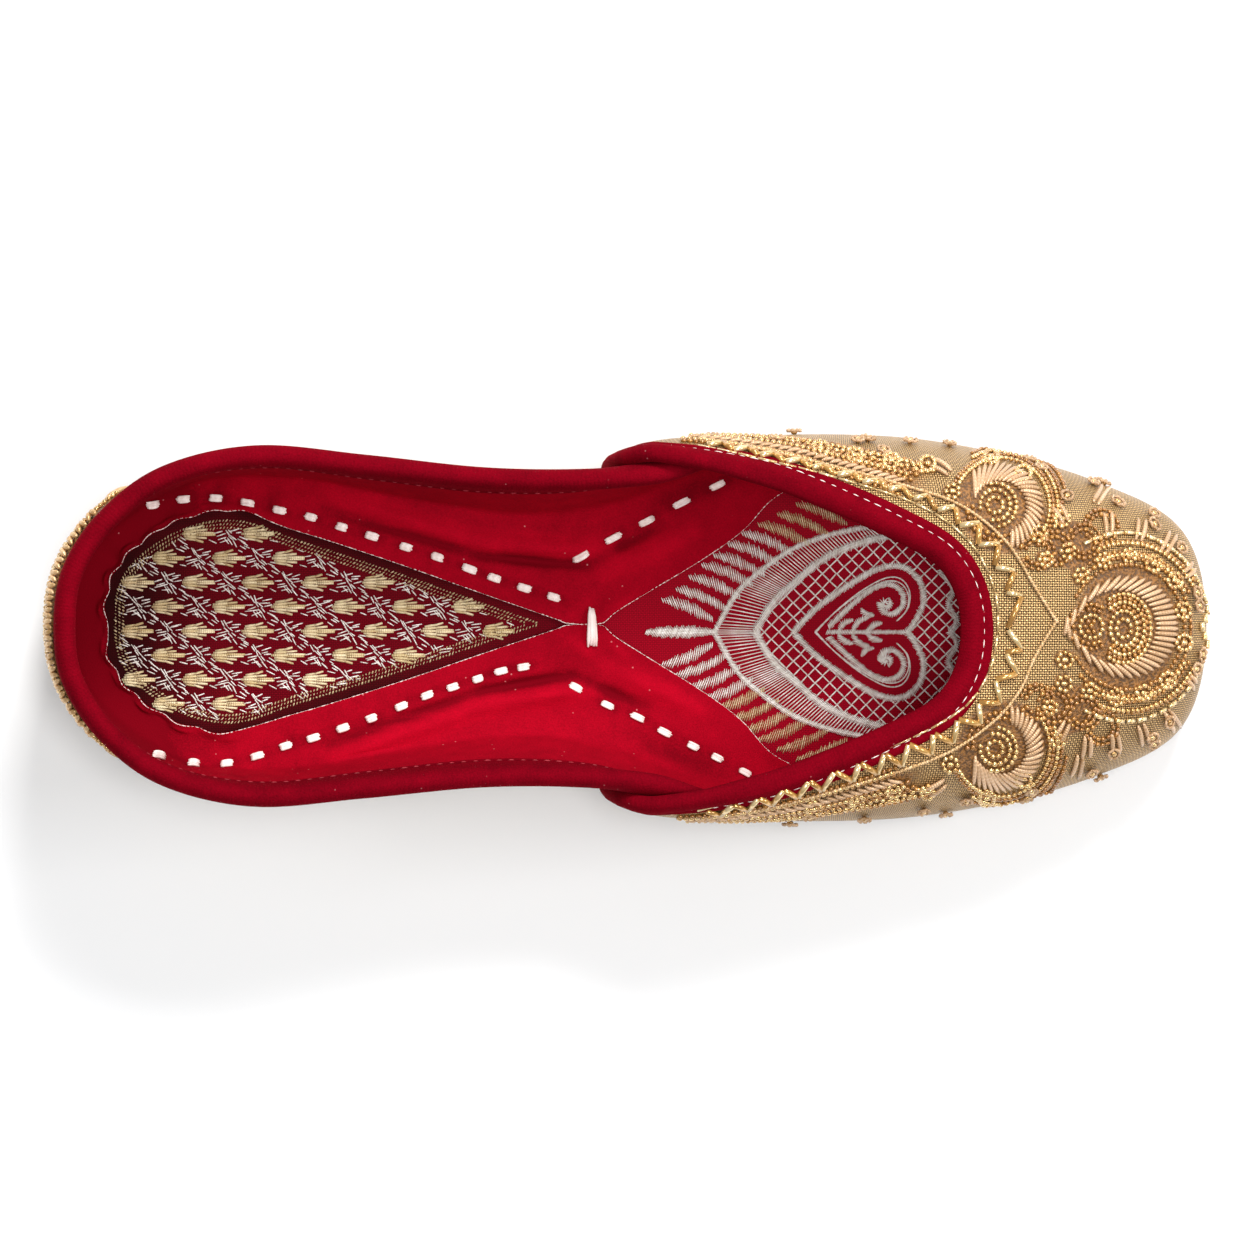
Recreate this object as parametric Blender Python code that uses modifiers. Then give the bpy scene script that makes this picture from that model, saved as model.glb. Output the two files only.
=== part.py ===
"""Mojari: a flat slip-on shoe with an embroidered vamp, velvet edges and a lining turned in over the insole.

Metres, +Z up, toe towards +X. The shoe stands on z = 0, with the origin under the middle of its box.
The upper is worked out from ribs of the last: each rib is a curve from the feather line, where the wall
meets the sole, up to the topline. The walls, overlays and edges are all offsets of that one surface.
"""

import math
from collections import namedtuple

import bmesh
import bpy
from mathutils import Vector

# Driving sizes
LAST_LENGTH = 0.2424      # the last's bottom, from heel to toe
BALL_WIDTH = 0.0734       # the last's bottom at its widest
BACK_HEIGHT = 0.0575      # floor to topline at the back of the heel
SOLE_THICKNESS = 0.0040
HEEL_LIFT = 0.0080
HEEL_LENGTH = 0.0600      # from the back of the sole to the heel's breast
TOE_SPRING = 0.0050
SOLE_MARGIN = 0.0024      # how far the sole's edge stands out from the last
SOLE_EDGE_ROUND = 0.0008
UPPER_WALL = 0.0018
VAMP_WALL = 0.0013
EAR_FLARE = 0.0034        # how far the tops of the vamp's ears stand off the upper
COLLAR_ROLL = 0.0026      # radius of the velvet roll round the collar
THROAT_ROLL = 0.0019      # radius of the velvet roll round the vamp
PATCH_THICKNESS = 0.0012
INSOLE_THICKNESS = 0.0020
SOCK_THICKNESS = 0.0010
FLAP_THICKNESS = 0.0012
GAP = 0.0003              # between pieces that touch
MERGE = 0.000001          # points closer than this are one

# Ribs of the last, from the back of the heel (first row) to the tip of the toe (last row), left side.
# foot_x, top_x: shares of LAST_LENGTH. foot_y, top_y, low_out, high_out: shares of half BALL_WIDTH.
# top_z: share of BACK_HEIGHT. low_rise, high_drop: shares of the rib's own height.
# foot is the point on the feather line and top the one on the topline. The two curve handles lie low_out
# and high_out outwards, low_rise above the foot and high_drop below the top.
Rib = namedtuple("Rib", "foot_x foot_y top_x top_y top_z low_out low_rise high_out high_drop")
RIBS = [
    Rib(0.000, 0.000, 0.000, 0.000, 1.000, 0.177, 0.30, 0.093, 0.35),
    Rib(0.010, 0.325, 0.007, 0.308, 1.000, 0.170, 0.30, 0.080, 0.35),
    Rib(0.049, 0.605, 0.037, 0.610, 0.988, 0.145, 0.30, 0.050, 0.35),
    Rib(0.113, 0.815, 0.087, 0.853, 0.965, 0.130, 0.30, 0.014, 0.35),
    Rib(0.200, 0.831, 0.164, 0.970, 0.923, 0.110, 0.30, -0.010, 0.35),
    Rib(0.299, 0.703, 0.259, 0.921, 0.870, 0.125, 0.30, -0.022, 0.35),
    Rib(0.399, 0.610, 0.366, 0.852, 0.821, 0.136, 0.30, -0.022, 0.35),
    Rib(0.483, 0.678, 0.461, 0.848, 0.800, 0.150, 0.32, 0.010, 0.30),
    Rib(0.557, 0.850, 0.543, 0.895, 0.800, 0.170, 0.36, 0.150, 0.20),
    Rib(0.647, 0.970, 0.613, 0.877, 0.800, 0.160, 0.42, 0.190, 0.10),
    Rib(0.745, 1.000, 0.674, 0.749, 0.786, 0.140, 0.42, 0.260, 0.06),
    Rib(0.842, 0.895, 0.729, 0.597, 0.760, 0.150, 0.38, 0.400, 0.04),
    Rib(0.925, 0.725, 0.774, 0.436, 0.733, 0.165, 0.34, 0.560, 0.03),
    Rib(0.987, 0.495, 0.795, 0.237, 0.711, 0.205, 0.31, 0.680, 0.03),
    Rib(1.000, 0.000, 0.801, 0.000, 0.702, 0.290, 0.30, 0.710, 0.03),
]
TOE_RIB = len(RIBS) - 1
ROUND = 2 * TOE_RIB       # rib places once round the shoe: up the left side and back down the right

# Rib places where pieces begin and end
COLLAR_END = 8.45         # the collar roll's ends, hidden under the vamp
DIP_FROM = 7.6            # the upper's edge dips under the vamp from here
DIP_TO = 8.6              # lies lowest here
TUCK_FROM = 8.7           # rises again from here
TUCK_TO = 9.3             # and lies tucked in the vamp's roll from here on
EAR_TOP = 7.42            # the vamp's back edge at the ear's top
EAR_FOOT = 6.90           # the vamp's back edge at the sole
EAR_ROUND = 0.50          # length of the ear's round corner
CLOSED_TOP = 9.3          # where the vamp lies on the upper, at the topline
CLOSED_FOOT = 9.0         # and at the sole
LEAN_RUN = 1.6            # how far ahead of the ear the columns still lean back
FLARE_LEAD = 0.20         # the ear's flare starts this far behind the ear
FLARE_RUN = 0.55          # and is full after this
TAPER_RUN = 0.8           # how far the collar roll thins before its ends
PATCH_END = 2.35

# Shares of a rib, from the feather line to the topline
WALL_FOOT = -0.10         # walls start below the sole's top, where the sole's clearance trims them
UNDER_DIP = 0.20          # how far the upper's edge dips under the vamp
THROAT_TUCK = 0.03        # how far it ends below the middle of the vamp's roll
EAR_DROP = 0.20           # depth of the ear's round corner
ROLL_FULL = 0.60          # the vamp's roll has its full radius from here up
FLARE_FROM = 0.35         # the ear flares from here
FLARE_TO = 0.80           # and is full here
SIDE_ROLL_FROM = 0.08     # the roll along the ear's back edge starts here
SIDE_ROLL_TO = 0.93       # and meets the round corner here
PATCH_MIDDLE = 0.46
PATCH_HALF = 0.31
PATCH_BLUNT = 0.02        # squared share of its height that the patch keeps at its ends

# Shares of LAST_LENGTH: the stretch of the forefoot that stands on the floor
TREAD_FROM = 0.585
TREAD_TO = 0.800

# Shares of a roll's full radius
PRESSED_ROLL = 0.55       # the vamp's roll at the sole
TAPERED_ROLL = 0.62       # the collar's roll at its hidden ends

# Facets: columns along the shoe and rows up the walls
BACK_COLUMNS = 29
EAR_COLUMNS = 6
SIDE_COLUMNS = 8
TOE_COLUMNS = 11
TOE_COLUMNS_FROM = 0.52   # share of the way from the ear to the toe where the closer columns start
WALL_ROWS = 10
COLLAR_STOPS = 49
SIDE_ROLL_STOPS = 7
PATCH_COLUMNS = 21
PATCH_ROWS = 5
OUTSOLE_COLUMNS = 39
INSOLE_COLUMNS = 41
FINE_COLUMNS = 57         # outlines that are cut short at the heel's breast or where the socks meet
FLAP_COLUMNS = 41
FLAP_ROWS = 4
ROOM_COLUMNS = 90
EDGE_ANGLE = math.radians(50)

# The raw edge of the lining turned in over the insole, from the back of the heel to the side of the ball.
# rib is the rib place opposite the point, x a share of LAST_LENGTH and y of half BALL_WIDTH.
EdgePoint = namedtuple("EdgePoint", "rib x y")
FLAP_EDGE = [
    EdgePoint(0.00, 0.020, 0.000),
    EdgePoint(0.80, 0.024, 0.230),
    EdgePoint(1.60, 0.045, 0.430),
    EdgePoint(2.50, 0.088, 0.610),
    EdgePoint(3.30, 0.140, 0.665),
    EdgePoint(4.00, 0.200, 0.540),
    EdgePoint(4.85, 0.285, 0.360),
    EdgePoint(5.70, 0.370, 0.165),
    EdgePoint(6.35, 0.430, 0.030),
    EdgePoint(6.50, 0.440, 0.006),
    EdgePoint(6.85, 0.471, 0.006),
    EdgePoint(7.00, 0.484, 0.075),
    EdgePoint(7.40, 0.512, 0.190),
    EdgePoint(8.05, 0.565, 0.405),
    EdgePoint(8.50, 0.600, 0.575),
    EdgePoint(8.95, 0.632, 0.790),
]
SOCK_JOIN = 0.4555        # share of LAST_LENGTH where the two socks meet, under the flaps


def mix(start, end, share):
    return start + (end - start) * share


def smooth(share):
    """A soft step from 0 to 1."""
    share = min(max(share, 0.0), 1.0)
    return share * share * (3 - 2 * share)


def spread(start, end, count):
    return [mix(start, end, k / (count - 1)) for k in range(count)]


def catmull(before, start, end, after, share):
    """A smooth curve through start and end, at a share of the way."""
    return 0.5 * (
        2 * start
        + (end - before) * share
        + (2 * before - 5 * start + 4 * end - after) * share**2
        + (3 * start - before - 3 * end + after) * share**3
    )


def rib_value(column, place):
    """A column of RIBS at any rib place, with the rows mirrored past the heel and the toe."""
    first = math.floor(place)

    def row(number):
        number %= ROUND
        right = number > TOE_RIB
        value = getattr(RIBS[ROUND - number if right else number], column)
        return -value if right and column in ("foot_y", "top_y") else value

    return catmull(*(row(first + step) for step in (-1, 0, 1, 2)), place - first)


def from_heel(place):
    """The rib place on the left side that mirrors this one."""
    place = abs(place)
    return min(place, ROUND - place)


def sole_bottom(x):
    """Height of the outsole's underside: on the heel, down through the waist, on the floor, up at the toe."""
    breast = HEEL_LENGTH - SOLE_MARGIN
    tread_from = TREAD_FROM * LAST_LENGTH
    tread_to = TREAD_TO * LAST_LENGTH
    if x < tread_from:
        return (HEEL_LIFT + GAP) * (1 - smooth((x - breast) / (tread_from - breast)))
    return TOE_SPRING * (max(x - tread_to, 0.0) / (LAST_LENGTH - tread_to)) ** 2


def sole_top(x):
    return sole_bottom(x) + SOLE_THICKNESS


def insole_top(x):
    return sole_top(x) + GAP + INSOLE_THICKNESS


def sock_top(x):
    return insole_top(x) + GAP + SOCK_THICKNESS


def plan(place, which):
    """A rib's foot or top in plan, from the back of the last."""
    return Vector((
        rib_value(which + "_x", place) * LAST_LENGTH,
        rib_value(which + "_y", place) * BALL_WIDTH / 2,
        0.0,
    ))


def plan_outward(place, which):
    """The outward direction of the feather line or the topline in plan."""
    step = 0.02
    along = plan(place + step, which) - plan(place - step, which)
    return Vector((-along.y, along.x, 0.0)).normalized()


def last_point(place, share):
    """The last's surface: share 0 is the feather line and 1 the topline."""
    foot = plan(place, "foot")
    foot.z = sole_top(foot.x)
    top = plan(place, "top")
    top.z = rib_value("top_z", place) * BACK_HEIGHT
    height = top.z - foot.z
    low = foot + plan_outward(place, "foot") * (rib_value("low_out", place) * BALL_WIDTH / 2)
    low.z += rib_value("low_rise", place) * height
    high = top + plan_outward(place, "top") * (rib_value("high_out", place) * BALL_WIDTH / 2)
    high.z -= rib_value("high_drop", place) * height
    if share < 0:
        return foot + (low - foot) * (3 * share)
    rest = 1 - share
    return foot * rest**3 + low * (3 * rest**2 * share) + high * (3 * rest * share**2) + top * share**3


def last_normal(place, share):
    """The outward normal of the last's surface."""
    step = 0.01
    along = last_point(place + step, share) - last_point(place - step, share)
    up = last_point(place, share + step) - last_point(place, share - step)
    return up.cross(along).normalized()


def reach_x(place, offset, sign):
    """How far a rib goes to the back (sign -1) or to the front (sign 1), offset outside the last."""
    rib = [last_point(place, share) + last_normal(place, share) * offset for share in spread(0, 1, 60)]
    return sign * max(sign * point.x for point in rib)


BACK_REACH = reach_x(0, UPPER_WALL + GAP + PATCH_THICKNESS, -1)
TOE_REACH = max(reach_x(TOE_RIB, UPPER_WALL + GAP + VAMP_WALL, 1), LAST_LENGTH + SOLE_MARGIN)
BOX_MIDDLE = Vector(((BACK_REACH + TOE_REACH) / 2, 0.0, 0.0))


def off_last(place, share, offset):
    """A point that lies offset outside the last, in the shoe's own frame."""
    return last_point(place, share) + last_normal(place, share) * offset - BOX_MIDDLE


def feather(places, margin):
    """The feather line moved outwards by margin, in plan."""
    return [plan(place, "foot") + plan_outward(place, "foot") * margin for place in places]


def mirrored(points):
    return [Vector((point.x, -point.y, point.z)) for point in points]


def lifted(point, height):
    """A plan point at its height over the floor, in the shoe's own frame."""
    return Vector((point.x, point.y, height(point.x))) - BOX_MIDDLE


def upper_top(place):
    """Share of the rib where the upper ends: on the topline, dipping under the vamp, tucked in its roll."""
    near = from_heel(place)
    dip = UNDER_DIP * smooth((near - DIP_FROM) / (DIP_TO - DIP_FROM))
    return 1 - mix(dip, THROAT_TUCK, smooth((near - TUCK_FROM) / (TUCK_TO - TUCK_FROM)))


def throat_radius(share):
    """Radius of the vamp's roll, pressed flatter towards the sole."""
    return THROAT_ROLL * mix(PRESSED_ROLL, 1.0, smooth(share / ROLL_FULL))


def stand_off(place, share):
    """How far the vamp stands off the upper: its roll clears it, and its ears flare out more."""
    near = from_heel(place)
    share = min(max(share, 0.0), 1.0)
    back = mix(EAR_FOOT, EAR_TOP, share)
    closed = mix(CLOSED_FOOT, CLOSED_TOP, share)
    roll_room = throat_radius(share) - VAMP_WALL / 2
    flared = smooth((share - FLARE_FROM) / (FLARE_TO - FLARE_FROM))
    flared *= smooth((near - EAR_TOP + FLARE_LEAD) / FLARE_RUN)
    return mix(roll_room, EAR_FLARE, flared) * (1 - smooth((near - back) / (closed - back)))


def ear_corner(place):
    """Share of the rib where the vamp ends: on the topline, with a round corner at the ear."""
    short = max(EAR_TOP + EAR_ROUND - from_heel(place), 0.0) / EAR_ROUND
    return 1 - EAR_DROP * (1 - math.sqrt(max(1 - short**2, 0.0)))


def lean_back(place, share):
    """The vamp's back edge leans back towards the sole, and the columns ahead of it less and less."""
    fade = 1 - smooth((from_heel(place) - EAR_TOP) / LEAN_RUN)
    lean = (EAR_TOP - EAR_FOOT) * (1 - max(share, 0.0)) * fade
    return place - lean if place < TOE_RIB else place + lean


def vamp_point(place, height, offset):
    """A point at a share of the vamp's own height, offset outside its inner face."""
    share = height * ear_corner(place) if height > 0 else height
    place = lean_back(place, share)
    return off_last(place, share, UPPER_WALL + GAP + stand_off(place, share) + offset)


def front_places():
    """Rib places from the end of the ear's corner to the toe, closer together round the toe."""
    start = EAR_TOP + EAR_ROUND
    turn = mix(start, TOE_RIB, TOE_COLUMNS_FROM)
    return spread(start, turn, SIDE_COLUMNS) + spread(turn, TOE_RIB, TOE_COLUMNS)[1:]


def vamp_places():
    """Rib places across the vamp, closer together round the ears' corners."""
    left = spread(EAR_TOP, EAR_TOP + EAR_ROUND, EAR_COLUMNS)[:-1] + front_places()
    return left + [ROUND - place for place in reversed(left[:-1])]


def upper_places():
    """Rib places all round the upper, the same as the vamp's where the vamp lies on it."""
    front = front_places()
    back = spread(-front[0], front[0], BACK_COLUMNS)
    return back + front[1:] + [ROUND - place for place in reversed(front[:-1])]


def column_shares(top):
    """Shares up a wall that ends at a share top of the rib."""
    return [WALL_FOOT] + spread(0.0, top, WALL_ROWS)


def collar_line():
    """Middle of the roll round the upper's edge, and its radii, thinner at its hidden ends."""
    places = spread(-COLLAR_END, COLLAR_END, COLLAR_STOPS)
    points = [off_last(place, upper_top(place), UPPER_WALL / 2) for place in places]
    full = [smooth((COLLAR_END - abs(place)) / TAPER_RUN) for place in places]
    radii = [COLLAR_ROLL * mix(TAPERED_ROLL, 1.0, share) for share in full]
    return points, radii


def throat_line():
    """Middle of the roll round the vamp, and its radii: up one ear, round the throat, down the other.

    At the ears it lies on the vamp's own edge, and round the throat it holds the upper's edge too.
    """
    on_vamp = VAMP_WALL / 2
    on_both = (VAMP_WALL - UPPER_WALL - GAP) / 2
    heights = spread(SIDE_ROLL_FROM, SIDE_ROLL_TO, SIDE_ROLL_STOPS)
    left = [vamp_point(EAR_TOP, height, on_vamp) for height in heights]
    right = [vamp_point(ROUND - EAR_TOP, height, on_vamp) for height in heights]
    throat = []
    for place in vamp_places():
        free = smooth(stand_off(place, 1.0) / THROAT_ROLL)
        throat.append(vamp_point(place, 1.0, mix(on_both, on_vamp, free)))
    side_radii = [throat_radius(height) for height in heights]
    points = left + throat + right[::-1]
    return points, side_radii + [THROAT_ROLL] * len(throat) + side_radii[::-1]


def new_collection(name):
    collection = bpy.data.collections.new(name)
    bpy.context.scene.collection.children.link(collection)
    return collection


def add_object(name, data, collection, material=None):
    thing = bpy.data.objects.new(name, data)
    collection.objects.link(thing)
    if material:
        data.materials.append(material)
    return thing


def make_material(name, colour, roughness, metallic=0.0):
    material = bpy.data.materials.new(name)
    material.use_nodes = True
    finish = material.node_tree.nodes["Principled BSDF"]
    finish.inputs["Base Color"].default_value = (*colour, 1.0)
    finish.inputs["Roughness"].default_value = roughness
    finish.inputs["Metallic"].default_value = metallic
    material.diffuse_color = (*colour, 1.0)
    return material


def surface(name, grid, collection, material=None):
    """An open surface through a grid of points, a list of columns of the same length.

    It faces outwards where columns run up a wall and follow each other from the heel along the left side,
    and upwards on a plate whose columns run from its left edge to its right.
    """
    bm = bmesh.new()
    columns = [[bm.verts.new(point) for point in column] for column in grid]
    for here, ahead in zip(columns, columns[1:]):
        for row in range(len(here) - 1):
            bm.faces.new((here[row], here[row + 1], ahead[row + 1], ahead[row]))
    bmesh.ops.remove_doubles(bm, verts=bm.verts, dist=MERGE)
    bmesh.ops.dissolve_degenerate(bm, edges=bm.edges, dist=MERGE)
    mesh = bpy.data.meshes.new(name)
    bm.to_mesh(mesh)
    bm.free()
    mesh.shade_smooth()
    return add_object(name, mesh, collection, material)


def thicken(thing, thickness):
    """A wall of this thickness on the outer or upper side of an open surface."""
    modifier = thing.modifiers.new("wall", "SOLIDIFY")
    modifier.thickness = thickness
    modifier.offset = 1
    modifier.use_even_offset = True


def round_edges(thing):
    modifier = thing.modifiers.new("round_edges", "BEVEL")
    modifier.width = SOLE_EDGE_ROUND
    modifier.segments = 2
    modifier.limit_method = "ANGLE"
    modifier.angle_limit = EDGE_ANGLE


def plate(name, left, height, thickness, collection, material=None, right=None, rows=2):
    """A plate between two plan outlines, its underside at height(x) over the floor. right mirrors left."""
    grid = []
    for start, end in zip(left, right or mirrored(left)):
        grid.append([lifted(point, height) for point in spread(start, end, rows)])
    thing = surface(name, grid, collection, material)
    thicken(thing, thickness)
    return thing


def roll(name, line, collection, material=None, extra=0.0):
    """A round roll along a line of points and radii. extra widens it."""
    curve = bpy.data.curves.new(name, "CURVE")
    curve.dimensions = "3D"
    curve.use_fill_caps = True
    curve.bevel_depth = 1.0
    curve.bevel_resolution = 3
    spline = curve.splines.new("POLY")
    points, radii = line
    spline.points.add(len(points) - 1)
    for stop, point, radius in zip(spline.points, points, radii):
        stop.co = (*point, 1.0)
        stop.radius = radius + extra
    spline.use_smooth = True
    return add_object(name, curve, collection, material)


def as_cutter(thing):
    thing.display_type = "WIRE"
    thing.hide_render = True
    return thing


def roll_cutter(name, line, cutters):
    """The room that a roll needs: the same roll, wider by GAP and longer by GAP at both ends."""
    points, radii = line
    lead = points[0] + (points[0] - points[1]).normalized() * GAP
    tail = points[-1] + (points[-1] - points[-2]).normalized() * GAP
    rough = roll(name + "_curve", ([lead, *points[1:-1], tail], radii), cutters, extra=GAP)
    evaluated = rough.evaluated_get(bpy.context.evaluated_depsgraph_get())
    mesh = bpy.data.meshes.new_from_object(evaluated)
    bpy.data.objects.remove(rough)
    bm = bmesh.new()
    bm.from_mesh(mesh)
    bmesh.ops.remove_doubles(bm, verts=bm.verts, dist=MERGE)
    bmesh.ops.recalc_face_normals(bm, faces=bm.faces)
    bm.to_mesh(mesh)
    bm.free()
    return as_cutter(add_object(name, mesh, cutters))


def cut(thing, room):
    modifier = thing.modifiers.new("clear_of_" + room.name, "BOOLEAN")
    modifier.operation = "DIFFERENCE"
    modifier.solver = "EXACT"
    modifier.object = room


def build_sole_room(cutters):
    """Everything below the sole's top and GAP above it, which trims the walls."""
    beyond = BALL_WIDTH / 2
    depth = SOLE_THICKNESS + HEEL_LIFT
    stations = spread(-beyond, LAST_LENGTH + beyond, ROOM_COLUMNS)
    edge = [Vector((x, BALL_WIDTH, 0.0)) for x in stations]
    return as_cutter(plate("sole_room", edge, lambda x: sole_top(x) + GAP - depth, depth, cutters))


def build_upper(parts, material, rooms):
    """One hollow wall all round the foot, open at the collar and throat and underneath."""
    grid = []
    for place in upper_places():
        shares = column_shares(upper_top(place))
        grid.append([off_last(place, share, 0.0) for share in shares])
    upper = surface("upper", grid, parts, material)
    thicken(upper, UPPER_WALL)
    for room in rooms:
        cut(upper, room)


def build_vamp(parts, material, rooms):
    """The embroidered front over the upper, from ear to ear."""
    heights = column_shares(1.0)
    grid = [[vamp_point(place, height, 0.0) for height in heights] for place in vamp_places()]
    vamp = surface("vamp", grid, parts, material)
    thicken(vamp, VAMP_WALL)
    for room in rooms:
        cut(vamp, room)


def build_heel_patch(parts, material):
    """The embroidered patch over the back of the upper, drawn in to a blunt point at both ends."""
    grid = []
    for place in spread(-PATCH_END, PATCH_END, PATCH_COLUMNS):
        half = PATCH_HALF * math.sqrt(max(1 - (place / PATCH_END) ** 2, PATCH_BLUNT))
        shares = spread(PATCH_MIDDLE - half, PATCH_MIDDLE + half, PATCH_ROWS)
        grid.append([off_last(place, share, UPPER_WALL + GAP) for share in shares])
    thicken(surface("heel_patch", grid, parts, material), PATCH_THICKNESS)


def build_outsole(parts, material):
    edge = feather(spread(0, TOE_RIB, OUTSOLE_COLUMNS), SOLE_MARGIN)
    round_edges(plate("outsole", edge, sole_bottom, SOLE_THICKNESS, parts, material))


def build_heel(parts, material):
    """The heel under the back of the outsole, with the same outline and a square breast."""
    breast = HEEL_LENGTH - SOLE_MARGIN
    outline = feather(spread(0, TOE_RIB, FINE_COLUMNS), SOLE_MARGIN)
    edge = [point for point in outline if point.x < breast]
    edge.append(Vector((breast, edge[-1].y, 0.0)))
    round_edges(plate("heel", edge, lambda x: 0.0, HEEL_LIFT, parts, material))


def build_insole(parts, material):
    edge = feather(spread(0, TOE_RIB, INSOLE_COLUMNS), -GAP)
    plate("insole", edge, lambda x: sole_top(x) + GAP, INSOLE_THICKNESS, parts, material)


def build_socks(parts, heel_material, fore_material):
    """The two coverings of the insole, which meet at the waist with GAP between them."""
    outline = feather(spread(0, TOE_RIB, FINE_COLUMNS), -2 * GAP)
    join = SOCK_JOIN * LAST_LENGTH
    back = [point for point in outline if point.x < join - GAP]
    front = [point for point in outline if point.x > join + GAP]
    back.append(Vector((join - GAP / 2, back[-1].y, 0.0)))
    front.insert(0, Vector((join + GAP / 2, front[0].y, 0.0)))
    for name, edge, material in (("heel_sock", back, heel_material), ("fore_sock", front, fore_material)):
        plate(name, edge, lambda x: insole_top(x) + GAP, SOCK_THICKNESS, parts, material)


def flap_edge(share):
    """The raw edge of the left flap at a share of its length: the rib place opposite, and the plan point."""
    place = share * (len(FLAP_EDGE) - 1)
    first = min(math.floor(place), len(FLAP_EDGE) - 2)

    def point(number):
        row = FLAP_EDGE[min(abs(number), len(FLAP_EDGE) - 1)]
        side = -1 if number < 0 else 1
        return Vector((row.x * LAST_LENGTH, side * row.y * BALL_WIDTH / 2, side * row.rib))

    x, y, rib = catmull(*(point(first + step) for step in (-1, 0, 1, 2)), place - first)
    return rib, Vector((x, y, 0.0))


def build_lining_flaps(parts, material):
    """The lining turned in over the socks: whole round the heel, edge to edge at the waist, then apart."""
    stops = [flap_edge(share) for share in spread(0, 1, FLAP_COLUMNS)]
    outer = feather([rib for rib, _ in stops], -2 * GAP)
    inner = [point for _, point in stops]
    outer = mirrored(outer[:0:-1]) + outer
    inner = mirrored(inner[:0:-1]) + inner
    name = "lining_flaps"
    plate(name, outer, lambda x: sock_top(x) + GAP, FLAP_THICKNESS, parts, material, inner, FLAP_ROWS)


def main():
    for thing in list(bpy.data.objects):
        bpy.data.objects.remove(thing)
    parts = new_collection("mojari")
    cutters = new_collection("cutters")

    sole_leather = make_material("sole_leather", (0.45, 0.27, 0.14), 0.6)
    heel_leather = make_material("heel_leather", (0.36, 0.20, 0.10), 0.55)
    hide = make_material("cream_hide", (0.66, 0.56, 0.42), 0.6)
    tissue = make_material("gold_tissue", (0.62, 0.44, 0.20), 0.45, 0.4)
    velvet = make_material("red_velvet", (0.42, 0.008, 0.02), 0.9)
    beadwork = make_material("beadwork", (0.60, 0.34, 0.10), 0.35, 0.5)
    board = make_material("insole_board", (0.50, 0.38, 0.26), 0.9)
    brocade = make_material("heel_brocade", (0.20, 0.01, 0.015), 0.4)
    satin = make_material("fore_satin", (0.36, 0.008, 0.02), 0.5)

    collar = collar_line()
    throat = throat_line()
    build_outsole(parts, sole_leather)
    build_heel(parts, heel_leather)
    sole_room = build_sole_room(cutters)
    collar_room = roll_cutter("collar_room", collar, cutters)
    throat_room = roll_cutter("throat_room", throat, cutters)
    build_upper(parts, hide, [sole_room, collar_room, throat_room])
    build_vamp(parts, tissue, [sole_room, throat_room])
    roll("collar_binding", collar, parts, velvet)
    roll("throat_binding", throat, parts, velvet)
    build_heel_patch(parts, beadwork)
    build_insole(parts, board)
    build_socks(parts, brocade, satin)
    build_lining_flaps(parts, velvet)


main()
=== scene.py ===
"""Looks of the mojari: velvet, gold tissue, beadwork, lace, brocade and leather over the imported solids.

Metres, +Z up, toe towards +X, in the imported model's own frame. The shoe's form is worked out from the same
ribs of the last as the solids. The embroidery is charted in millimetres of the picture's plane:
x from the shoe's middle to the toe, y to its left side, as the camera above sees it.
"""
import math
import random
from collections import namedtuple
from functools import lru_cache

import bmesh
import bpy
import numpy as np
from mathutils import Matrix, Vector
from mathutils.bvhtree import BVHTree


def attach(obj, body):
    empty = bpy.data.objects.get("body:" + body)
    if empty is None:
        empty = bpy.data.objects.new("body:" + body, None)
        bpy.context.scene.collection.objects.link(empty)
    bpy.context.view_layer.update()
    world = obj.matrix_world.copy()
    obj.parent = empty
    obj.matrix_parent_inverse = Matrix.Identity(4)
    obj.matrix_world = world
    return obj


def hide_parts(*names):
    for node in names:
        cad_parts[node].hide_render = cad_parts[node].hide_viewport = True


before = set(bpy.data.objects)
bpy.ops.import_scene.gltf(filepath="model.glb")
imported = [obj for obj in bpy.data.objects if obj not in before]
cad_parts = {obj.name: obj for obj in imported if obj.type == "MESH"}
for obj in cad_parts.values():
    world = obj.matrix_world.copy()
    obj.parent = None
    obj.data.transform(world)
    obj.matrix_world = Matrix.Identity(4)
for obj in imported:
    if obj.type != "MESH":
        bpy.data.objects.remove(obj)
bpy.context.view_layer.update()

MM = 0.001

# Sizes of the shoe, as in the solids
LAST_LENGTH = 0.2424
BALL_WIDTH = 0.0734
BACK_HEIGHT = 0.0575
SOLE_THICKNESS = 0.0040
HEEL_LIFT = 0.0080
HEEL_LENGTH = 0.0600
TOE_SPRING = 0.0050
SOLE_MARGIN = 0.0024
UPPER_WALL = 0.0018
VAMP_WALL = 0.0013
EAR_FLARE = 0.0034
THROAT_ROLL = 0.0019
PATCH_THICKNESS = 0.0012
INSOLE_THICKNESS = 0.0020
SOCK_THICKNESS = 0.0010
FLAP_THICKNESS = 0.0012
GAP = 0.0003

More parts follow.
